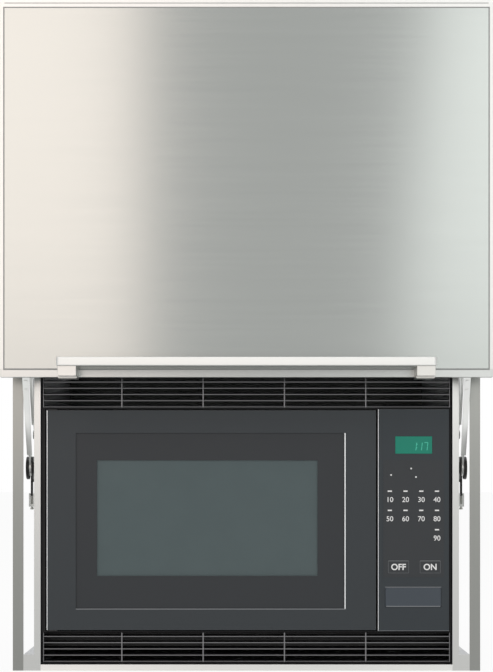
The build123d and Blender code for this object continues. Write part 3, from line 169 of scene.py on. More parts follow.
def zinc(name, look):
    # zinc coated sheet with its spangle
    finish = Finish(name, look)
    spangle = finish.cells(look["spangle"])
    drift = finish.noise(look["drift"], detail=4.0)
    finish.shades(spangle * 0.5 + drift * 0.5, 1 - look["contrast"], 1 + look["contrast"])
    rough = look["rough"] + (spangle - 0.5) * look["spangleRough"] + (drift - 0.5) * look["driftRough"]
    finish.set({"Roughness": rough})
    finish.relief(drift + spangle * look["spangleHeight"], look["depth"], strength=0.5)
    return finish.material


def moulded(name, look):
    # moulded plastic or rubber with a fine grain
    finish = Finish(name, look)
    grain = finish.noise((look["grain"],) * 3)
    patches = finish.noise(look["patches"], detail=4.0, roughness=0.6)
    mixed = patches * look["patchMix"] + grain * look["grainMix"]
    finish.shades(mixed, 1 - look["contrast"], 1 + look["contrast"])
    finish.set({"Roughness": look["rough"] + (patches - 0.5) * look["roughSpread"]})
    finish.relief(grain, look["depth"])
    return finish.material


def enamelled(name, look):
    # sprayed enamel with orange peel and small specks
    finish = Finish(name, look)
    peel = finish.noise(look["peel"])
    specks = finish.noise(look["specks"], detail=1.0).above(look["speckEdge"])
    dark = (*[c * look["speck"] for c in look["colour"]], 1)
    finish.set({"Base Color": finish.mix(specks, (*look["colour"], 1), dark)})
    finish.set({"Roughness": look["rough"] + (peel - 0.5) * look["roughSpread"]})
    finish.relief(peel, look["depth"])
    return finish.material


def pane(name, look):
    # tinted glass or filter, with a faint film that varies
    finish = Finish(name, look)
    film = finish.noise(look["film"], detail=4.0, roughness=0.65)
    finish.set({"Roughness": look["rough"] + (film - 0.5) * look["roughSpread"]})
    finish.shades(film, 1 - look["contrast"], 1 + look["contrast"])
    return finish.material


def laminated(name, look):
    # stacked sheets or fins, seen as thin lines across one axis
    finish = Finish(name, look)
    sheets = finish.noise(look["sheets"], detail=1.0)
    finish.shades(sheets, 1 - look["contrast"], 1 + look["contrast"])
    finish.relief(sheets, look["depth"])
    return finish.material


# what the finishes of one kind share: patterns in patches per metre, depths in metres
steelLook = {"metal": 1.0, "along": "x", "contrast": 0.05, "roughSpread": 0.05, "scratch": 0.00001,
             "far": 5, "wide": 900, "fine": 1400, "streakShare": 0.12, "cloud": (3, 3, 3), "grainMix": 0.35,
             "streakMix": 0.4, "cloudMix": 0.25, "quarterTurn": 0.25, "Anisotropic": 0.7}
zincLook = {"metal": 1.0, "spangle": 70, "contrast": 0.10, "drift": (6, 6, 6), "spangleRough": 0.16,
            "driftRough": 0.1, "spangleHeight": 0.3, "depth": 0.00015}
plasticLook = {"grain": 900, "depth": 0.00003, "contrast": 0.06, "patches": (14, 14, 14), "patchMix": 0.6,
               "grainMix": 0.4, "roughSpread": 0.12}
enamelLook = {"peel": (350, 350, 350), "specks": (900, 900, 900), "speckEdge": 0.68, "roughSpread": 0.1,
              "depth": 0.00004}
paneLook = {"film": (20, 20, 20), "roughSpread": 0.05, "contrast": 0.07}
stackLook = {"sheets": (2, 1200, 2), "contrast": 0.25, "depth": 0.0002}
looks = {
    "stainless_skin": (brushed, {**steelLook, "colour": (0.35, 0.365, 0.35), "rough": 0.2,
                                 "Anisotropic": 0.85}),
    "stainless_frame": (brushed, {**steelLook, "colour": (0.53, 0.535, 0.52), "rough": 0.3, "along": "z"}),
    "handle_steel": (brushed, {**steelLook, "colour": (0.69, 0.695, 0.675), "rough": 0.5,
                               "Anisotropic": 0.3}),
    "arm_steel": (brushed, {**steelLook, "colour": (0.82, 0.83, 0.81), "rough": 0.38, "along": "z"}),
    "shaft_steel": (brushed, {**steelLook, "colour": (0.55, 0.55, 0.55), "rough": 0.2, "along": "y"}),
    "spring_steel": (brushed, {**steelLook, "colour": (0.42, 0.43, 0.44), "rough": 0.35}),
    "screw_zinc": (brushed, {**steelLook, "colour": (0.5, 0.5, 0.47), "rough": 0.3}),
    "zinc_sheet": (zinc, {**zincLook, "colour": (0.52, 0.53, 0.54), "rough": 0.42}),
    "motor_metal": (zinc, {**zincLook, "colour": (0.4, 0.41, 0.42), "rough": 0.4, "spangle": 200}),
    "can_aluminium": (zinc, {**zincLook, "colour": (0.62, 0.62, 0.63), "rough": 0.35, "spangle": 260}),
    "magnetron_metal": (laminated, {**stackLook, "metal": 1.0, "colour": (0.5, 0.51, 0.53), "rough": 0.4}),
    "core_steel": (laminated, {**stackLook, "metal": 0.6, "colour": (0.13, 0.11, 0.1), "rough": 0.5}),
    "hub_black": (moulded, {**plasticLook, "colour": (0.012, 0.012, 0.012), "rough": 0.4}),
    "black_trim": (moulded, {**plasticLook, "colour": (0.008, 0.008, 0.009), "rough": 0.45,
                             "Specular IOR Level": 0.2}),
    "louvre_black": (moulded, {**plasticLook, "colour": (0.007, 0.007, 0.008), "rough": 0.35,
                               "Specular IOR Level": 0.15}),
    "charcoal_door": (moulded, {**plasticLook, "colour": (0.027, 0.034, 0.039), "rough": 0.42,
                                "Specular IOR Level": 0.35}),
    "charcoal_panel": (moulded, {**plasticLook, "colour": (0.023, 0.031, 0.037), "rough": 0.42,
                                 "Specular IOR Level": 0.35}),
    "button_black": (moulded, {**plasticLook, "colour": (0.045, 0.059, 0.075), "rough": 0.36,
                               "Specular IOR Level": 0.4}),
    "keypad_film": (moulded, {**plasticLook, "colour": (0.026, 0.03, 0.034), "rough": 0.38,
                              "Specular IOR Level": 0.35}),
    "hinge_black": (moulded, {**plasticLook, "colour": (0.012, 0.012, 0.012), "rough": 0.5}),
    "rubber_black": (moulded, {**plasticLook, "colour": (0.02, 0.02, 0.02), "rough": 0.75}),
    "magnet_black": (moulded, {**plasticLook, "colour": (0.03, 0.03, 0.03), "rough": 0.5}),
    "hook_white": (moulded, {**plasticLook, "colour": (0.7, 0.7, 0.66), "rough": 0.4}),
    "lever_white": (moulded, {**plasticLook, "colour": (0.66, 0.66, 0.62), "rough": 0.4}),
    "switch_black": (moulded, {**plasticLook, "colour": (0.03, 0.03, 0.03), "rough": 0.5}),
    "fan_plastic": (moulded, {**plasticLook, "colour": (0.05, 0.05, 0.05), "rough": 0.45}),
    "mica": (moulded, {**plasticLook, "colour": (0.5, 0.45, 0.36), "rough": 0.6, "grain": 120}),
    "ring_white": (moulded, {**plasticLook, "colour": (0.75, 0.75, 0.72), "rough": 0.4}),
    "board_green": (moulded, {**plasticLook, "colour": (0.03, 0.15, 0.06), "rough": 0.4}),
    "enamel": (enamelled, {**enamelLook, "colour": (0.5, 0.5, 0.47), "rough": 0.3, "speck": 0.55}),
    "liner_paint": (enamelled, {**enamelLook, "colour": (0.03, 0.03, 0.031), "rough": 0.4, "speck": 1.8}),
    "door_glass": (pane, {**paneLook, "colour": (0.1, 0.135, 0.14), "rough": 0.1, "Alpha": 0.9,
                          "Specular IOR Level": 0.25}),
    "tray_glass": (pane, {**paneLook, "colour": (0.75, 0.82, 0.8), "rough": 0.06, "Alpha": 0.45}),
    "lamp_glass": (pane, {**paneLook, "colour": (0.85, 0.82, 0.72), "rough": 0.15, "Alpha": 0.6}),
    "display_green": (pane, {**paneLook, "colour": (0.01, 0.16, 0.11), "rough": 0.2,
                             "Specular IOR Level": 0.2, "Emission Color": (0.008, 0.19, 0.13, 1),
                             "Emission Strength": 0.35}),
}
finishes = {slot: make(slot, look) for slot, (make, look) in looks.items()}
for node, cadObject in frame["nodes"].items():
    cadObject.data.materials.clear()
    cadObject.data.materials.append(finishes[slotOf[node]])
# finishes of single faces that paint light and shade into the colour: painted shade on the outer stiles, the
# lip, the posts, the seams, the shelf's flange, the back sheet's inner side and the bezel's floor; painted
# highlights on the bottom rail, the edges of the oven face and the louvre noses
faceLooks = {
    "outerStile": (brushed, {**steelLook, "colour": (0.27, 0.275, 0.26), "rough": 0.3, "along": "z"}),
    "bottomRail": (brushed, {**steelLook, "colour": (0.64, 0.64, 0.62), "rough": 0.3}),
    "panelLip": (brushed, {**steelLook, "colour": (0.46, 0.47, 0.455), "rough": 0.3}),
    "postSteel": (brushed, {**steelLook, "colour": (0.64, 0.63, 0.6), "rough": 0.45}),
    "seamShade": (moulded, {**plasticLook, "colour": (0.22, 0.225, 0.22), "rough": 0.5, "metal": 1.0}),
    "brightEdge": (moulded, {**plasticLook, "colour": (0.7, 0.72, 0.73), "rough": 0.35, "metal": 1.0}),
    "dimEdge": (moulded, {**plasticLook, "colour": (0.2, 0.21, 0.22), "rough": 0.4, "metal": 1.0}),
    "shelfLip": (moulded, {**plasticLook, "colour": (0.015, 0.015, 0.015), "rough": 0.6}),
    "insideGrey": (moulded, {**plasticLook, "colour": (0.25, 0.255, 0.25), "rough": 0.7}),
    "louvreNose": (moulded, {**plasticLook, "colour": (0.17, 0.17, 0.175), "rough": 0.35, "metal": 1.0}),
    "bezelFloor": (moulded, {**plasticLook, "colour": (0.02, 0.024, 0.028), "rough": 0.42,
                             "Specular IOR Level": 0.35}),
}
faceFinishes = {name: make(name, look) for name, (make, look) in faceLooks.items()}
print("finishes made:", len(finishes) + len(faceFinishes))


def publish(name, shape, node, extra=(), stands=True, own=None):
    # turns a bmesh into a piece that rides with the node's body and takes its slot;
    # extra names the finishes of the faces whose material index is 1 and up
    mesh = bpy.data.meshes.new(name)
    shape.to_mesh(mesh)
    shape.free()
    piece = bpy.data.objects.new(name, mesh)
    bpy.context.scene.collection.objects.link(piece)
    mesh.materials.append(own or finishes[slotOf[node]])
    for each in extra:
        mesh.materials.append(faceFinishes[each])
    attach(piece, bodyOf[node])
    if stands:
        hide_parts(node)
    return piece


def smooth(shape, sharpAbove=35):
    # soft shading, with creases left where two faces meet at more than sharpAbove degrees
    limit = math.radians(sharpAbove)
    for face in shape.faces:
        face.smooth = True
    for edge in shape.edges:
        edge.smooth = len(edge.link_faces) == 2 and edge.calc_face_angle(0) < limit


def weigh(piece):
    # flat faces keep their own shading beside rounded edges
    piece.modifiers.new("weights", "WEIGHTED_NORMAL").keep_sharp = True


def block(shape, low, high, edge=0.0, segments=2):
    # a box between two corners, its edges rounded by edge
    made = bmesh.ops.create_cube(shape, size=1.0)["verts"]
    size = [b - a for a, b in zip(low, high)]
    middle = [(a + b) / 2 for a, b in zip(low, high)]
    bmesh.ops.scale(shape, vec=size, verts=made)
    bmesh.ops.translate(shape, vec=middle, verts=made)
    if not edge:
        return made
    edges = list({e for v in made for e in v.link_edges})
    rounded = bmesh.ops.bevel(shape, geom=edges, offset=edge, segments=segments, profile=0.5,
                              affect="EDGES", material=-1, clamp_overlap=True)
    return list({v for f in rounded["faces"] for v in f.verts} | {v for v in made if v.is_valid})


mergeWithin = 2e-6  # metres; closer points of a CAD mesh are one
cutWithin = 1e-7
flatWithin = math.radians(1.5)


def cadCopy(node):
    # the node's own shape, merged and cleaned of the edges inside its flat faces
    shape = bmesh.new()
    shape.from_mesh(frame["nodes"][node].data)
    bmesh.ops.remove_doubles(shape, verts=shape.verts, dist=mergeWithin)
    bmesh.ops.dissolve_limit(shape, angle_limit=flatWithin, verts=shape.verts, edges=shape.edges)
    return shape


def roundEdges(shape, width, segments=2, sharp=40, keep=None, finish=None):
    # rounds the edges sharper than sharp degrees, all of them or those that keep picks
    edges = [e for e in shape.edges if len(e.link_faces) == 2 and e.calc_face_angle(0) > math.radians(sharp)]
    if keep:
        edges = [e for e in edges if keep(e)]
    made = bmesh.ops.bevel(shape, geom=edges, offset=width, segments=segments, profile=0.5,
                           affect="EDGES", material=-1, clamp_overlap=True)
    if finish is not None:
        for face in made["faces"]:
            face.material_index = finish


def split(shape, cuts):
    # cuts the faces along planes square to an axis, without opening them
    for axis, at in cuts:
        spot, normal = Vector(), Vector()
        spot[axis] = at
        normal[axis] = 1
        everything = shape.verts[:] + shape.edges[:] + shape.faces[:]
        bmesh.ops.bisect_plane(shape, geom=everything, dist=cutWithin, plane_co=spot, plane_no=normal)


def paint(shape, index, test):
    # gives a finish to the faces whose middle passes the test
    for face in shape.faces:
        if test(face.calc_center_median()):
            face.material_index = index


# real edges are never sharp: the width of the rounding on each of these nodes, in metres
edgeWidths = {
    "panel_skin": 0.0004, "trim_surround": 0.0006, "oven_front_plate": 0.0003, "oven_cavity": 0.0004,
    "right_lift_arm": 0.0004, "left_lift_arm": 0.0004, "right_guide_arm": 0.0005,
    "left_guide_arm": 0.0005, "panel_brackets": 0.0004, "panel_pins": 0.0004, "hub_caps": 0.0006,
    "spring_cases": 0.0005, "pivot_shafts": 0.0004, "lift_plates": 0.0004, "top_panel": 0.0005,
    "base_panel": 0.0005, "rubber_buffers": 0.0005, "magnet_catches": 0.0004, "latch_hooks": 0.0004,
    "oven_hinges": 0.0003, "release_lever": 0.0004, "turntable_coupler": 0.0005, "oven_feet": 0.001,
    "cord_gland": 0.0006, "right_side_panel": 0.0003, "left_side_panel": 0.0003,
}
for node, width in edgeWidths.items():
    softened = cadCopy(node)
    roundEdges(softened, width)
    smooth(softened)
    weigh(publish(node + ".soft", softened, node))
print("edges rounded on", len(edgeWidths), "nodes")

frameLook = {"edge": 0.0006, "trimGap": 0.0003}


def frontFrame(look):
    # one sheet; its outer stiles are painted darker as shade and its bottom rail lighter as a painted
    # highlight
    shape = cadCopy("front_frame")
    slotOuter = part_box("base_panel")[1].x
    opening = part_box("trim_surround")[1].x + look["trimGap"]
    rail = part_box("trim_surround")[0].z - look["trimGap"]
    split(shape, [(0, -slotOuter), (0, slotOuter), (0, -opening), (0, opening), (2, rail)])
    # painted shade on the outer stiles, painted highlight on the bottom rail
    paint(shape, 1, lambda c: abs(c.x) > slotOuter)
    paint(shape, 2, lambda c: abs(c.x) < opening and c.z < rail)
    roundEdges(shape, look["edge"])
    smooth(shape)
    weigh(publish("frontFrame", shape, "front_frame", ["outerStile", "bottomRail"]))


handleLook = {"barEdge": 0.0026, "postEdge": 0.001, "segments": 4}


def handle(look):
    # the bar, and its two posts, painted in a darker copy of the bar's steel as shade
    for node, edge, extra in (("handle_bar", look["barEdge"], []),
                              ("handle_posts", look["postEdge"], ["postSteel"])):
        shape = cadCopy(node)
        roundEdges(shape, edge, segments=look["segments"])
        smooth(shape)
        if extra:
            # painted shade: the posts take the darker copy of the steel
            paint(shape, 1, lambda c: True)
        weigh(publish(node + ".soft", shape, node, extra))


frontFrame(frameLook)
handle(handleLook)
print("frame and handle made")

faceLook = {"edge": 0.0006, "sideEdge": 0.0011, "topEdge": 0.0009, "sharp": 50, "recess": 0.0025,
            "recessRoom": 0.0002, "leftStrip": 0.0015, "rightStrip": 0.0014, "lowStrip": 0.001,
            "holeStrip": 0.0008, "buttonStrip": 0.0013, "buttonGap": 0.0005, "onFace": 0.0005,
            "windowLap": 0.006, "rim": 0.01}


def near(value, target, room=0.0004):
    return abs(value - target) < room


def edgeAt(front, axis, at):
    # picks the edges that lie on the front face, in one plane square to the axis
    return lambda e: all(near(v.co.y, front) and near(v.co[axis], at) for v in e.verts)


def ovenFace(look):
    # door, control panel and button: the edges turned to the light are wider and carry painted highlights,
    # bright ones on the left edges and beside the bezel, dimmer ones along the top and bottom edges, under
    # the bezel, over the button and along its bottom
    doorLow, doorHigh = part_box("oven_door_frame")
    recess = doorLow.y + look["recess"]
    windowLow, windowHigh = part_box("oven_door_window")
    shape = cadCopy("oven_door_frame")
    floor = [v.co for v in shape.verts if near(v.co.y, recess)]
    walls = [c for c in floor if c.x > windowHigh.x - look["windowLap"]]
    bezelLeft = max(c.x for c in floor if c.x < windowLow.x - look["windowLap"])
    bezelRight = max(c.x for c in walls if c.x < doorHigh.x - look["rim"])
    bezelLow = min(c.z for c in walls if c.z > doorLow.z + look["rim"])
    bezelHigh = max(c.z for c in walls)
    left, right = doorLow.x + look["leftStrip"], bezelRight + look["rightStrip"]
    below = bezelLow - look["lowStrip"]
    for z in (doorLow.z, doorHigh.z):
        # dimmer painted highlight along the door's top and bottom edges
        roundEdges(shape, look["topEdge"], segments=3, finish=3, keep=edgeAt(doorLow.y, 2, z))
    roundEdges(shape, look["edge"], sharp=look["sharp"])
    # painted shade: the bezel's recessed floor takes a darker copy of the door's plastic
    paint(shape, 2, lambda c: near(c.y, recess, look["recessRoom"]))
    split(shape, [(0, left), (0, bezelLeft), (0, right), (2, below), (2, bezelLow), (2, bezelHigh)])
    onFace = lambda c: c.y < doorLow.y + look["onFace"]
    # painted highlights: bright left edge and bezel side, dimmer strip under the bezel
    paint(shape, 1, lambda c: onFace(c) and c.x < left)
    paint(shape, 1, lambda c: onFace(c) and bezelRight < c.x < right and below < c.z < bezelHigh)
    paint(shape, 3, lambda c: onFace(c) and below < c.z < bezelLow and bezelLeft < c.x < bezelRight)
    smooth(shape)
    weigh(publish("doorShell", shape, "oven_door_frame", ["brightEdge", "bezelFloor", "dimEdge"]))
    low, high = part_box("control_panel")
    buttonLow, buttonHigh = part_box("door_open_button")
    over = buttonHigh.z + look["holeStrip"] + look["buttonGap"]
    shape = cadCopy("control_panel")
    # painted highlights: bright left edge, dimmer top and bottom edges and strip over the button
    roundEdges(shape, look["sideEdge"], segments=3, finish=1, keep=edgeAt(low.y, 0, low.x))
    for z in (low.z, high.z):
        roundEdges(shape, look["topEdge"], segments=3, finish=2, keep=edgeAt(low.y, 2, z))
    roundEdges(shape, look["edge"], sharp=look["sharp"])
    split(shape, [(2, over)])
    paint(shape, 2, lambda c: c.y < low.y + look["onFace"] and buttonHigh.z < c.z < over
          and buttonLow.x < c.x < buttonHigh.x)
    smooth(shape)
    weigh(publish("controlShell", shape, "control_panel", ["brightEdge", "dimEdge"]))
    shape = cadCopy("door_open_button")
    roundEdges(shape, look["edge"], sharp=look["sharp"])
    split(shape, [(2, buttonLow.z + look["buttonStrip"])])
    # dimmer painted highlight along the button's bottom edge
    paint(shape, 1, lambda c: c.z < buttonLow.z + look["buttonStrip"]
          and c.y < buttonLow.y + look["onFace"])
    smooth(shape)
    weigh(publish("doorButton", shape, "door_open_button", ["dimEdge"]))


shelfLook = {"edge": 0.0006, "lip": 0.002}


def ovenShelf(look):
    # the shelf under the oven; its front flange behind the lower louvre is painted near black as shade
    shape = cadCopy("oven_shelf")
    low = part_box("oven_shelf")[0]
    # painted shade on the front flange
    paint(shape, 1, lambda c: c.y < low.y + look["lip"])
    roundEdges(shape, look["edge"])
    smooth(shape)
    weigh(publish("ovenShelf", shape, "oven_shelf", ["shelfLip"]))


rearLook = {"edge": 0.0003, "depth": 0.0005}


def rearPanel(look):
    # the back sheet; the side that shows between the upper louvre's blades is painted darker grey as shade
    shape = cadCopy("rear_panel")
    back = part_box("rear_panel")[1].y - look["depth"]
    # painted shade on the inner side
    for face in shape.faces:
        if face.normal.y < -0.5 and face.calc_center_median().y < back:
            face.material_index = 1
    roundEdges(shape, look["edge"])
    smooth(shape)
    weigh(publish("rearSheet", shape, "rear_panel", ["insideGrey"]))


ovenFace(faceLook)
ovenShelf(shelfLook)
rearPanel(rearLook)
print("oven face made")

panLook = {"edge": 0.0009, "sharp": 20, "inset": 0.034, "sideInset": 0.056, "press": 0.003,
           "slope": 0.008, "lipDepth": 0.005}
flush = 1e-5  # metres; faces and edges this close to a plane lie in it


def pressedPan(look):
    # the pan, with the shallow pressed field that stiffens its back
    shape = cadCopy("panel_pan")
    low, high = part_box("panel_pan")
    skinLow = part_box("panel_skin")[0]
    cuts = [(0, low.x + look["sideInset"]), (0, high.x - look["sideInset"]),
            (2, low.z + look["inset"]), (2, high.z - look["inset"])]
    split(shape, cuts + [(2, skinLow.z)])
    # painted shade: the lip below the skin takes its own copy of the steel, toned to the shade under the
    # handle bar
    paint(shape, 1, lambda c: c.z < skinLow.z)
    xs = sorted(at for axis, at in cuts if axis == 0)
    zs = sorted(at for axis, at in cuts if axis == 2)
    field = [f for f in shape.faces if f.calc_center_median().y > high.y - flush
             and xs[0] < f.calc_center_median().x < xs[1] and zs[0] < f.calc_center_median().z < zs[1]]
    bmesh.ops.inset_region(shape, faces=field, thickness=look["slope"], depth=-look["press"])
    roundEdges(shape, look["edge"], keep=lambda e: all(
        abs(v.co.y - high.y) < flush or v.co.y < high.y - look["lipDepth"] for v in e.verts))
    smooth(shape, sharpAbove=look["sharp"])
    weigh(publish("panelPan", shape, "panel_pan", ["panelLip"]))


seamLook = {"width": 0.0017, "rise": 0.0004, "edge": 0.0001, "groove": 0.0009, "grooveDrop": 0.0069}


def skinSeam(look):
    # painted shade: dark strips round the skin and along the fold line at the top of the pan stand in for
    # the shadow in those gaps
    low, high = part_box("panel_skin")
    panLow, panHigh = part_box("panel_pan")
    shape = bmesh.new()
    y0, y1 = panLow.y - look["rise"], panLow.y
    s = look["width"]
    for x0, x1, z0, z1 in ((low.x - s, high.x + s, low.z - s, low.z),
                           (low.x - s, high.x + s, high.z, high.z + s),
                           (low.x - s, low.x, low.z, high.z), (high.x, high.x + s, low.z, high.z)):
        block(shape, (x0, y0, z0), (x1, y1, z1), look["edge"], segments=1)
    z = panHigh.z - look["grooveDrop"]
    block(shape, (low.x, y0, z), (high.x, y1, z + look["groove"]), look["edge"], segments=1)
    publish("skinSeam", shape, "panel_pan", own=faceFinishes["seamShade"], stands=False)


pressedPan(panLook)
skinSeam(seamLook)
print("front panel made")

louvreLook = {"pitch": 0.0092, "first": 0.002, "blade": 0.0016, "chord": 0.011, "reach": 0.47, "tilt": 12,
              "endGap": 0.0001, "endWall": 0.0015, "dividerPitch": 0.1197, "dividers": 4, "shift": -0.004,
              "divider": 0.002, "setback": 0.0004, "edge": 0.0005, "nose": 0.0008}


def louvre(node, look):
    # tilted blades between end walls, joined by upright dividers
    shape = bmesh.new()
    low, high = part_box(node)
    for x0, x1 in ((low.x, low.x + look["endWall"]), (high.x - look["endWall"], high.x)):
        block(shape, (x0, low.y, low.z), (x1, high.y, high.z), look["edge"])
    for i in range(look["dividers"]):
        x = look["shift"] + (i - (look["dividers"] - 1) / 2) * look["dividerPitch"]
        half = look["divider"] / 2
        block(shape, (x - half, low.y + look["setback"], low.z), (x + half, high.y, high.z), look["edge"])
    count = int((high.z - low.z - 2 * look["first"]) // look["pitch"]) + 1
    middle = (low.y + high.y) / 2
    reach = look["chord"] * look["reach"]
    for i in range(count):
        spot = Vector((0, middle, low.z + look["first"] + i * look["pitch"]))
        ends = low.x + look["endGap"], high.x - look["endGap"]
        blade = block(shape, (ends[0], middle - reach, spot.z - look["blade"] / 2),
                      (ends[1], middle + reach, spot.z + look["blade"] / 2), look["edge"], segments=3)
        turn = Matrix.Rotation(math.radians(look["tilt"]), 3, "X")
        bmesh.ops.rotate(shape, cent=spot, matrix=turn, verts=blade)
    # painted highlight: the blades' front edges take a metallic finish that shows as bright lines
    paint(shape, 1, lambda c: c.y < low.y + look["nose"])
    smooth(shape)
    weigh(publish(node + ".blades", shape, node, ["louvreNose"]))


louvre("upper_louvre", louvreLook)
louvre("lower_louvre", louvreLook)
print("louvres made")

displayLook = {"height": 0.0115, "width": 0.0052, "stroke": 0.001, "pitch": 0.0082, "slant": 0.12,
               "rightMargin": 0.0075, "lowMargin": 0.0048, "thickness": 0.0001, "gap": 0.0002,
               "colonBack": 0.0024, "colonRises": (0.28, 0.72), "text": "1:17",
               "colour": (0.05, 0.45, 0.32), "glow": 0.3, "rough": 0.4}
segmentsOf = {"0": "abcdef", "1": "bc", "2": "abged", "3": "abgcd", "4": "fgbc", "5": "afgcd",
              "6": "afgedc", "7": "abc", "8": "abcdefg", "9": "abcdfg"}  # letters as on a seven-bar digit
inkLook = {"patches": (600, 600, 600), "dark": 0.85, "light": 1.1}


def flatFinish(name, colour, rough, glow=0.0):
    # ink or a lit segment, with slight unevenness
    finish = Finish(name, {"colour": colour, "rough": rough, "Emission Color": (*colour, 1),
                           "Emission Strength": glow})
    finish.shades(finish.noise(inkLook["patches"]), inkLook["dark"], inkLook["light"])
    return finish.material


def displayDigits(look):
    # slanted seven-bar digits at the right of the display
    shape = bmesh.new()
    low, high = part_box("display_window")
    text = look["text"]
    w, h, s, gap = look["width"], look["height"], look["stroke"], look["gap"]
    bars = {"a": (0, h, w, h), "d": (0, 0, w, 0), "g": (0, h / 2, w, h / 2), "b": (w, h / 2, w, h),
            "c": (w, 0, w, h / 2), "e": (0, 0, 0, h / 2), "f": (0, h / 2, 0, h)}
    x = high.x - look["rightMargin"] - (len(text.replace(":", "")) - 1) * look["pitch"] - w
    z = low.z + look["lowMargin"]
    y0, y1 = low.y - look["thickness"], low.y
    for mark in text:
        if mark == ":":
            left = x - look["colonBack"]
            for rise in look["colonRises"]:
                block(shape, (left, y0, z + rise * h), (left + s, y1, z + rise * h + s))
            continue
        for bar in segmentsOf[mark]:
            x0, z0, x1, z1 = bars[bar]
            if z0 == z1:
                block(shape, (x + gap, y0, z + z0 - s / 2), (x + x1 - gap, y1, z + z0 + s / 2))
            else:
                block(shape, (x + x0 - s / 2, y0, z + z0 + gap), (x + x0 + s / 2, y1, z + z1 - gap))
        x += look["pitch"]
    for v in shape.verts:
        v.co.x += (v.co.z - z) * look["slant"]
    lit = flatFinish("litDigit", look["colour"], look["rough"], look["glow"])
    publish("displayDigits", shape, "display_window", own=lit, stands=False)


displayDigits(displayLook)

markLook = {"thickness": 0.0001, "digitSize": 0.0105, "digitBold": 0.00008, "padSize": 0.0125,
            "padBold": 0.0003, "padDrop": 0.0005, "columns": 4, "firstColumn": 0.0176, "columnPitch": 0.0231,
            "rowDrops": (0.133, 0.1612), "lastDrop": 0.1896, "dashUp": 0.0127, "dash": (0.0062, 0.002),
            "padLefts": (0.0152, 0.0618), "padWidth": 0.0303, "padHeight": 0.0182, "padRise": 0.0215,
            "outline": 0.0005, "ink": (0.9, 0.92, 0.92), "dimInk": (0.13, 0.14, 0.15),
            "lineInk": (0.3, 0.32, 0.33), "dots": ((0.0195, -0.0965), (0.049, -0.087), (0.056, -0.0995)),
            "dotSize": 0.0022, "dotRound": 0.6, "padWords": ("OFF", "ON"), "rough": 0.5}


def letters(shape, text, size, bold, spot):
    # flat characters centred on a spot
    curve = bpy.data.curves.new("letters", "FONT")
    curve.body = text
    curve.size = size
    curve.align_x = "CENTER"
    curve.align_y = "CENTER"
    curve.offset = bold
    curve.extrude = markLook["thickness"] / 2
    holder = bpy.data.objects.new("letters", curve)
    bpy.context.scene.collection.objects.link(holder)
    bpy.context.view_layer.update()
    mesh = bpy.data.meshes.new_from_object(holder.evaluated_get(bpy.context.evaluated_depsgraph_get()))
    mesh.transform(Matrix.Translation(spot) @ Matrix.Rotation(math.radians(90), 4, "X"))
    shape.from_mesh(mesh)
    bpy.data.objects.remove(holder)
    bpy.data.meshes.remove(mesh)


def keyMarks(look):
    # plain numbers on the keys, a dash over each, and ON and OFF on the wide pads
    bright, dim, line = bmesh.new(), bmesh.new(), bmesh.new()
    panelLow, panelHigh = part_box("control_panel")
    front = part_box("keypad")[0].y - look["thickness"] / 2
    back = front + look["thickness"]
    columns = [panelLow.x + look["firstColumn"] + i * look["columnPitch"] for i in range(look["columns"])]
    spots = [(x, panelHigh.z - drop) for drop in look["rowDrops"] for x in columns]
    spots.append((columns[-1], panelHigh.z - look["lastDrop"]))
    wide, tall = [v / 2 for v in look["dash"]]
    for number, (x, z) in enumerate(spots, 1):
        letters(bright, str(number * 10), look["digitSize"], look["digitBold"], (x, front, z))
        up = z + look["dashUp"]
        block(bright, (x - wide, front, up - tall), (x + wide, back, up + tall))
    half = look["dotSize"] / 2
    for x, z in look["dots"]:
        x, z = panelLow.x + x, panelHigh.z + z
        block(bright, (x - half, front, z - half), (x + half, back, z + half), half * look["dotRound"])
    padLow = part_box("door_open_button")[1].z + look["padRise"]
    w = look["outline"]
    for left, word in zip(look["padLefts"], look["padWords"]):
        x0 = panelLow.x + left
        x1 = x0 + look["padWidth"]
        z0, z1 = padLow, padLow + look["padHeight"]
        middle = ((x0 + x1) / 2, front, (z0 + z1) / 2 - look["padDrop"])
        letters(bright, word, look["padSize"], look["padBold"], middle)
        block(line, (x0, front, z1 - w), (x1, back, z1))
        for a, b in (((x0, z0), (x1, z0 + w)), ((x0, z0), (x0 + w, z1)), ((x1 - w, z0), (x1, z1))):
            block(dim, (a[0], front, a[1]), (b[0], back, b[1]))
    for name, shape, ink in (("keyMarks", bright, "ink"), ("padSides", dim, "dimInk"),
                             ("padTops", line, "lineInk")):
        own = flatFinish(name + "Ink", look[ink], look["rough"])
        publish(name, shape, "keypad", own=own, stands=False)


keyMarks(markLook)
print("controls made")


def lathe(profile, centre, axis, steps):
    # spins an open outline of (radius, height) points about an axis through centre
    shape = bmesh.new()
    up = Vector(axis).normalized()
    side = up.orthogonal().normalized()
    points = [shape.verts.new(Vector(centre) + side * r + up * h) for r, h in profile]
    edges = [shape.edges.new(pair) for pair in zip(points, points[1:])]
    bmesh.ops.spin(shape, geom=points + edges, cent=centre, axis=up, angle=math.tau, steps=steps,
                   use_merge=True)
    bmesh.ops.remove_doubles(shape, verts=shape.verts, dist=cutWithin)
    bmesh.ops.recalc_face_normals(shape, faces=shape.faces)
    return shape


trayLook = {"sheet": 0.0045, "lift": 0.0003, "ridge": 0.0006, "trackInset": 0.065, "trackHalf": 0.010,
            "step": 0.002, "ring": 0.028, "rimSlope": 0.012, "rimWall": 0.003, "rimUnder": 0.004,
            "rimSide": 0.0015, "rimRound": 0.0008, "rimTop": 0.0035, "rimFall": 0.0006, "steps": 96,
            "sharp": 50}


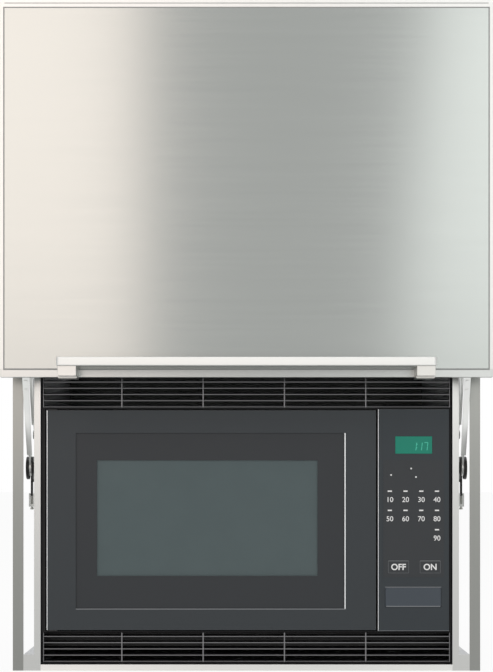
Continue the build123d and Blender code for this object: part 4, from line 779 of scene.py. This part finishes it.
def glassTray(look):
    # pressed glass plate: flat middle, a track ring over the rollers and a sloped rim
    low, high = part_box("turntable_tray")
    centre = Vector(((low.x + high.x) / 2, (low.y + high.y) / 2, low.z))
    radius, tall, t = (high.x - low.x) / 2, high.z - low.z, look["sheet"]
    track, half, step = radius - look["trackInset"], look["trackHalf"], look["step"]
    lift, ring, slope, wall = look["lift"], look["ring"], look["rimSlope"], look["rimWall"]
    under = [(0, lift), (track - half - step, lift), (track - half, 0), (track + half, 0),
             (track + half + step, lift), (radius - slope, lift)]
    rim = [(radius - wall, tall - look["rimUnder"]), (radius, tall - look["rimSide"]),
           (radius - look["rimRound"], tall), (radius - look["rimTop"], tall - look["rimFall"]),
           (radius - slope - wall, t)]
    over = [(track + half + 2 * step, t), (track + half + step, t + look["ridge"]), (track + half, t),
            (ring + step, t), (ring, t + look["ridge"]), (ring - step, t), (0, t)]
    profile = under + rim + over
    shape = lathe(profile, centre, (0, 0, 1), look["steps"])
    smooth(shape, sharpAbove=look["sharp"])
    publish("glassTray", shape, "turntable_tray")


glassTray(trayLook)
rollerLook = {"bore": 0.00165, "edge": 0.0009, "half": 0.003, "groove": 0.0006, "grooveHalf": 0.0005,
              "steps": 48, "sharp": 40}


def rollers(look):
    # each wheel has a rounded tread with a shallow groove, on the ring's own axle
    trayLow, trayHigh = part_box("turntable_tray")
    middle = (trayLow + trayHigh) / 2
    for node in ("roller_front", "roller_right", "roller_left"):
        low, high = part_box(node)
        centre = (low + high) / 2
        axis = Vector((centre.x - middle.x, centre.y - middle.y, 0)).normalized()
        radius, half, e = (high.z - low.z) / 2, look["half"], look["edge"]
        bore, g = look["bore"], look["grooveHalf"]
        profile = [(bore, -half), (radius - e, -half), (radius, e - half), (radius, -g),
                   (radius - look["groove"], 0), (radius, g), (radius, half - e), (radius - e, half),
                   (bore, half), (bore, -half)]
        shape = lathe(profile, centre, axis, look["steps"])
        smooth(shape, sharpAbove=look["sharp"])
        publish(node + ".wheel", shape, node)


rollers(rollerLook)
print("turntable made")

screwLook = {"headRadius": 0.004, "head": 0.0021, "shank": 0.0019, "cross": 0.0011, "arm": 0.0023,
             "recess": 0.0010, "dome": 0.0008, "rim": 0.9, "margin": 0.010, "plate": 0.003, "bite": 0.0015,
             "adjusterOut": 0.007, "adjusterEdge": 0.0003, "snap": 1e-8}


def crossScrew(shape, look, foot, axis, length):
    # pan-head screw whose head rests on foot, with a cross recess
    head = bmesh.new()
    bmesh.ops.create_cone(head, cap_ends=True, segments=32, radius1=look["headRadius"],
                          radius2=look["headRadius"], depth=look["head"])
    bmesh.ops.translate(head, vec=(0, 0, look["head"] / 2), verts=head.verts)
    rim = [e for e in head.edges if all(v.co.z > look["head"] * look["rim"] for v in e.verts)]
    bmesh.ops.bevel(head, geom=rim, offset=look["dome"], segments=3, profile=0.5, affect="EDGES",
                    material=-1)
    for normal in ((1, 0, 0), (0, 1, 0)):
        for at in (-look["arm"], -look["cross"] / 2, look["cross"] / 2, look["arm"]):
            top = [f for f in head.faces if f.calc_center_median().z > look["head"] - flush]
            around = top + list({e for f in top for e in f.edges}) + list({v for f in top for v in f.verts})
            bmesh.ops.bisect_plane(head, geom=around, dist=look["snap"], plane_co=Vector(normal) * at,
                                   plane_no=Vector(normal))
    slot = []
    for f in head.faces:
        c = f.calc_center_median()
        inArm = max(abs(c.x), abs(c.y)) < look["arm"] and min(abs(c.x), abs(c.y)) < look["cross"] / 2
        if c.z > look["head"] - flush and inArm:
            slot.append(f)
    sunk = bmesh.ops.extrude_face_region(head, geom=slot)["geom"]
    bmesh.ops.delete(head, geom=slot, context="FACES_ONLY")
    bmesh.ops.translate(head, vec=(0, 0, -look["recess"]),
                        verts=[g for g in sunk if isinstance(g, bmesh.types.BMVert)])
    shank = bmesh.ops.create_cone(head, cap_ends=True, segments=20, radius1=look["shank"],
                                  radius2=look["shank"], depth=length)["verts"]
    bmesh.ops.translate(head, vec=(0, 0, -length / 2), verts=shank)
    turn = Vector(axis).to_track_quat("Z", "Y").to_matrix().to_4x4()
    bmesh.ops.transform(head, matrix=Matrix.Translation(foot) @ turn, verts=head.verts)
    smooth(head)
    made = bpy.data.meshes.new("screw")
    head.to_mesh(made)
    head.free()
    shape.from_mesh(made)
    bpy.data.meshes.remove(made)


def plateScrews(look):
    # screws at the corners of the lift plates; the two adjusters are rounded copies of their CAD shape
    shape = bmesh.new()
    low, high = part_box("lift_plates")
    margin, thickness = look["margin"], look["plate"]
    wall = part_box("right_side_panel")[1].x
    for side in (-1, 1):
        for y in (low.y + margin, high.y - margin):
            for z in (low.z + margin, high.z - margin):
                foot = (side * (wall + thickness), y, z)
                crossScrew(shape, look, foot, (side, 0, 0), thickness + look["bite"])
    adjusters = cadCopy("housing_screws")
    loose = [v for v in adjusters.verts if abs(v.co.x) < wall + look["adjusterOut"]]
    bmesh.ops.delete(adjusters, geom=loose, context="VERTS")
    roundEdges(adjusters, look["adjusterEdge"])
    smooth(adjusters)
    made = bpy.data.meshes.new("adjusters")
    adjusters.to_mesh(made)
    adjusters.free()
    shape.from_mesh(made)
    bpy.data.meshes.remove(made)
    publish("housingScrews", shape, "housing_screws")


plateScrews(screwLook)
print("screws made")

studioLook = {"world": 0.55, "floor": 0.9, "floorGlow": 0.93, "floorHalf": 30.0}
lamps = {
    "leftCard": {"place": (-1.28, -4.5, 2.0), "turn": (90, 0, 0), "size": (1.84, 3.2), "radiance": 1.75,
                 "colour": (1.0, 0.84, 0.77)},
    "highLeftCard": {"place": (-1.25, -4.5, 3.0), "turn": (90, 0, 0), "size": (1.6, 1.6), "radiance": 0.6,
                     "colour": (0.85, 0.92, 1.0)},
    "rightCard": {"place": (1.55, -4.5, 2.0), "turn": (90, 6, 0), "size": (1.78, 3.2), "radiance": 1.35,
                  "colour": (0.98, 1.0, 0.99)},
    "topCard": {"place": (0.0, -0.6, 3.6), "turn": (0, 0, 0), "size": (3.0, 3.0), "radiance": 0.9,
                "colour": (1.0, 1.0, 1.0)},
}


def studio(look, cards):
    # a room that looks white, straight or mirrored, but lights less, and cards of light for the steel
    scene = bpy.context.scene
    scene.view_settings.view_transform = "Standard"
    world = bpy.data.worlds.new("studio")
    scene.world = world
    world.use_nodes = True
    world.node_tree.nodes.clear()
    sky = Nodes(world.node_tree)
    strength = look["world"] + (1 - look["world"]) * sky.seen()
    glow = sky.add("ShaderNodeBackground", {}, {"Color": white, "Strength": strength})
    sky.add("ShaderNodeOutputWorld", {}, {"Surface": glow})
    shape = bmesh.new()
    bmesh.ops.create_grid(shape, x_segments=1, y_segments=1, size=look["floorHalf"])
    mesh = bpy.data.meshes.new("floor")
    shape.to_mesh(mesh)
    shape.free()
    floor = bpy.data.objects.new("floor", mesh)
    scene.collection.objects.link(floor)
    pale = bpy.data.materials.new("paleFloor")
    pale.use_nodes = True
    pale.node_tree.nodes.clear()
    tree = Nodes(pale.node_tree)
    matt = tree.add("ShaderNodeBsdfDiffuse", {}, {"Color": (*[look["floor"]] * 3, 1)})
    lit = tree.add("ShaderNodeEmission", {}, {"Color": white, "Strength": 1.0})
    both = tree.add("ShaderNodeMixShader", {}, {0: tree.seen() * look["floorGlow"], 1: matt, 2: lit})
    tree.add("ShaderNodeOutputMaterial", {}, {"Surface": both})
    mesh.materials.append(pale)
    for name, lamp in cards.items():
        data = bpy.data.lights.new(name, "AREA")
        data.shape = "RECTANGLE"
        data.size, data.size_y = lamp["size"]
        data.energy = lamp["radiance"] * math.pi * data.size * data.size_y
        data.color = lamp["colour"]
        holder = bpy.data.objects.new(name, data)
        holder.location = lamp["place"]
        holder.rotation_euler = [math.radians(a) for a in lamp["turn"]]
        scene.collection.objects.link(holder)


cameraLook = {"distance": 3.0, "height": 0.288, "lens": 109.5, "sensor": 36.0, "shiftUp": 0.206,
              "far": 100.0}


def camera(look):
    data = bpy.data.cameras.new("camera")
    data.lens = look["lens"]
    data.sensor_width = look["sensor"]
    data.shift_y = look["shiftUp"]
    data.clip_end = look["far"]
    holder = bpy.data.objects.new("camera", data)
    holder.location = (0, frameFront - look["distance"], look["height"])
    holder.rotation_euler = (math.radians(90), 0, 0)
    bpy.context.scene.collection.objects.link(holder)
    bpy.context.scene.camera = holder


studio(studioLook, lamps)
camera(cameraLook)
print("studio made")
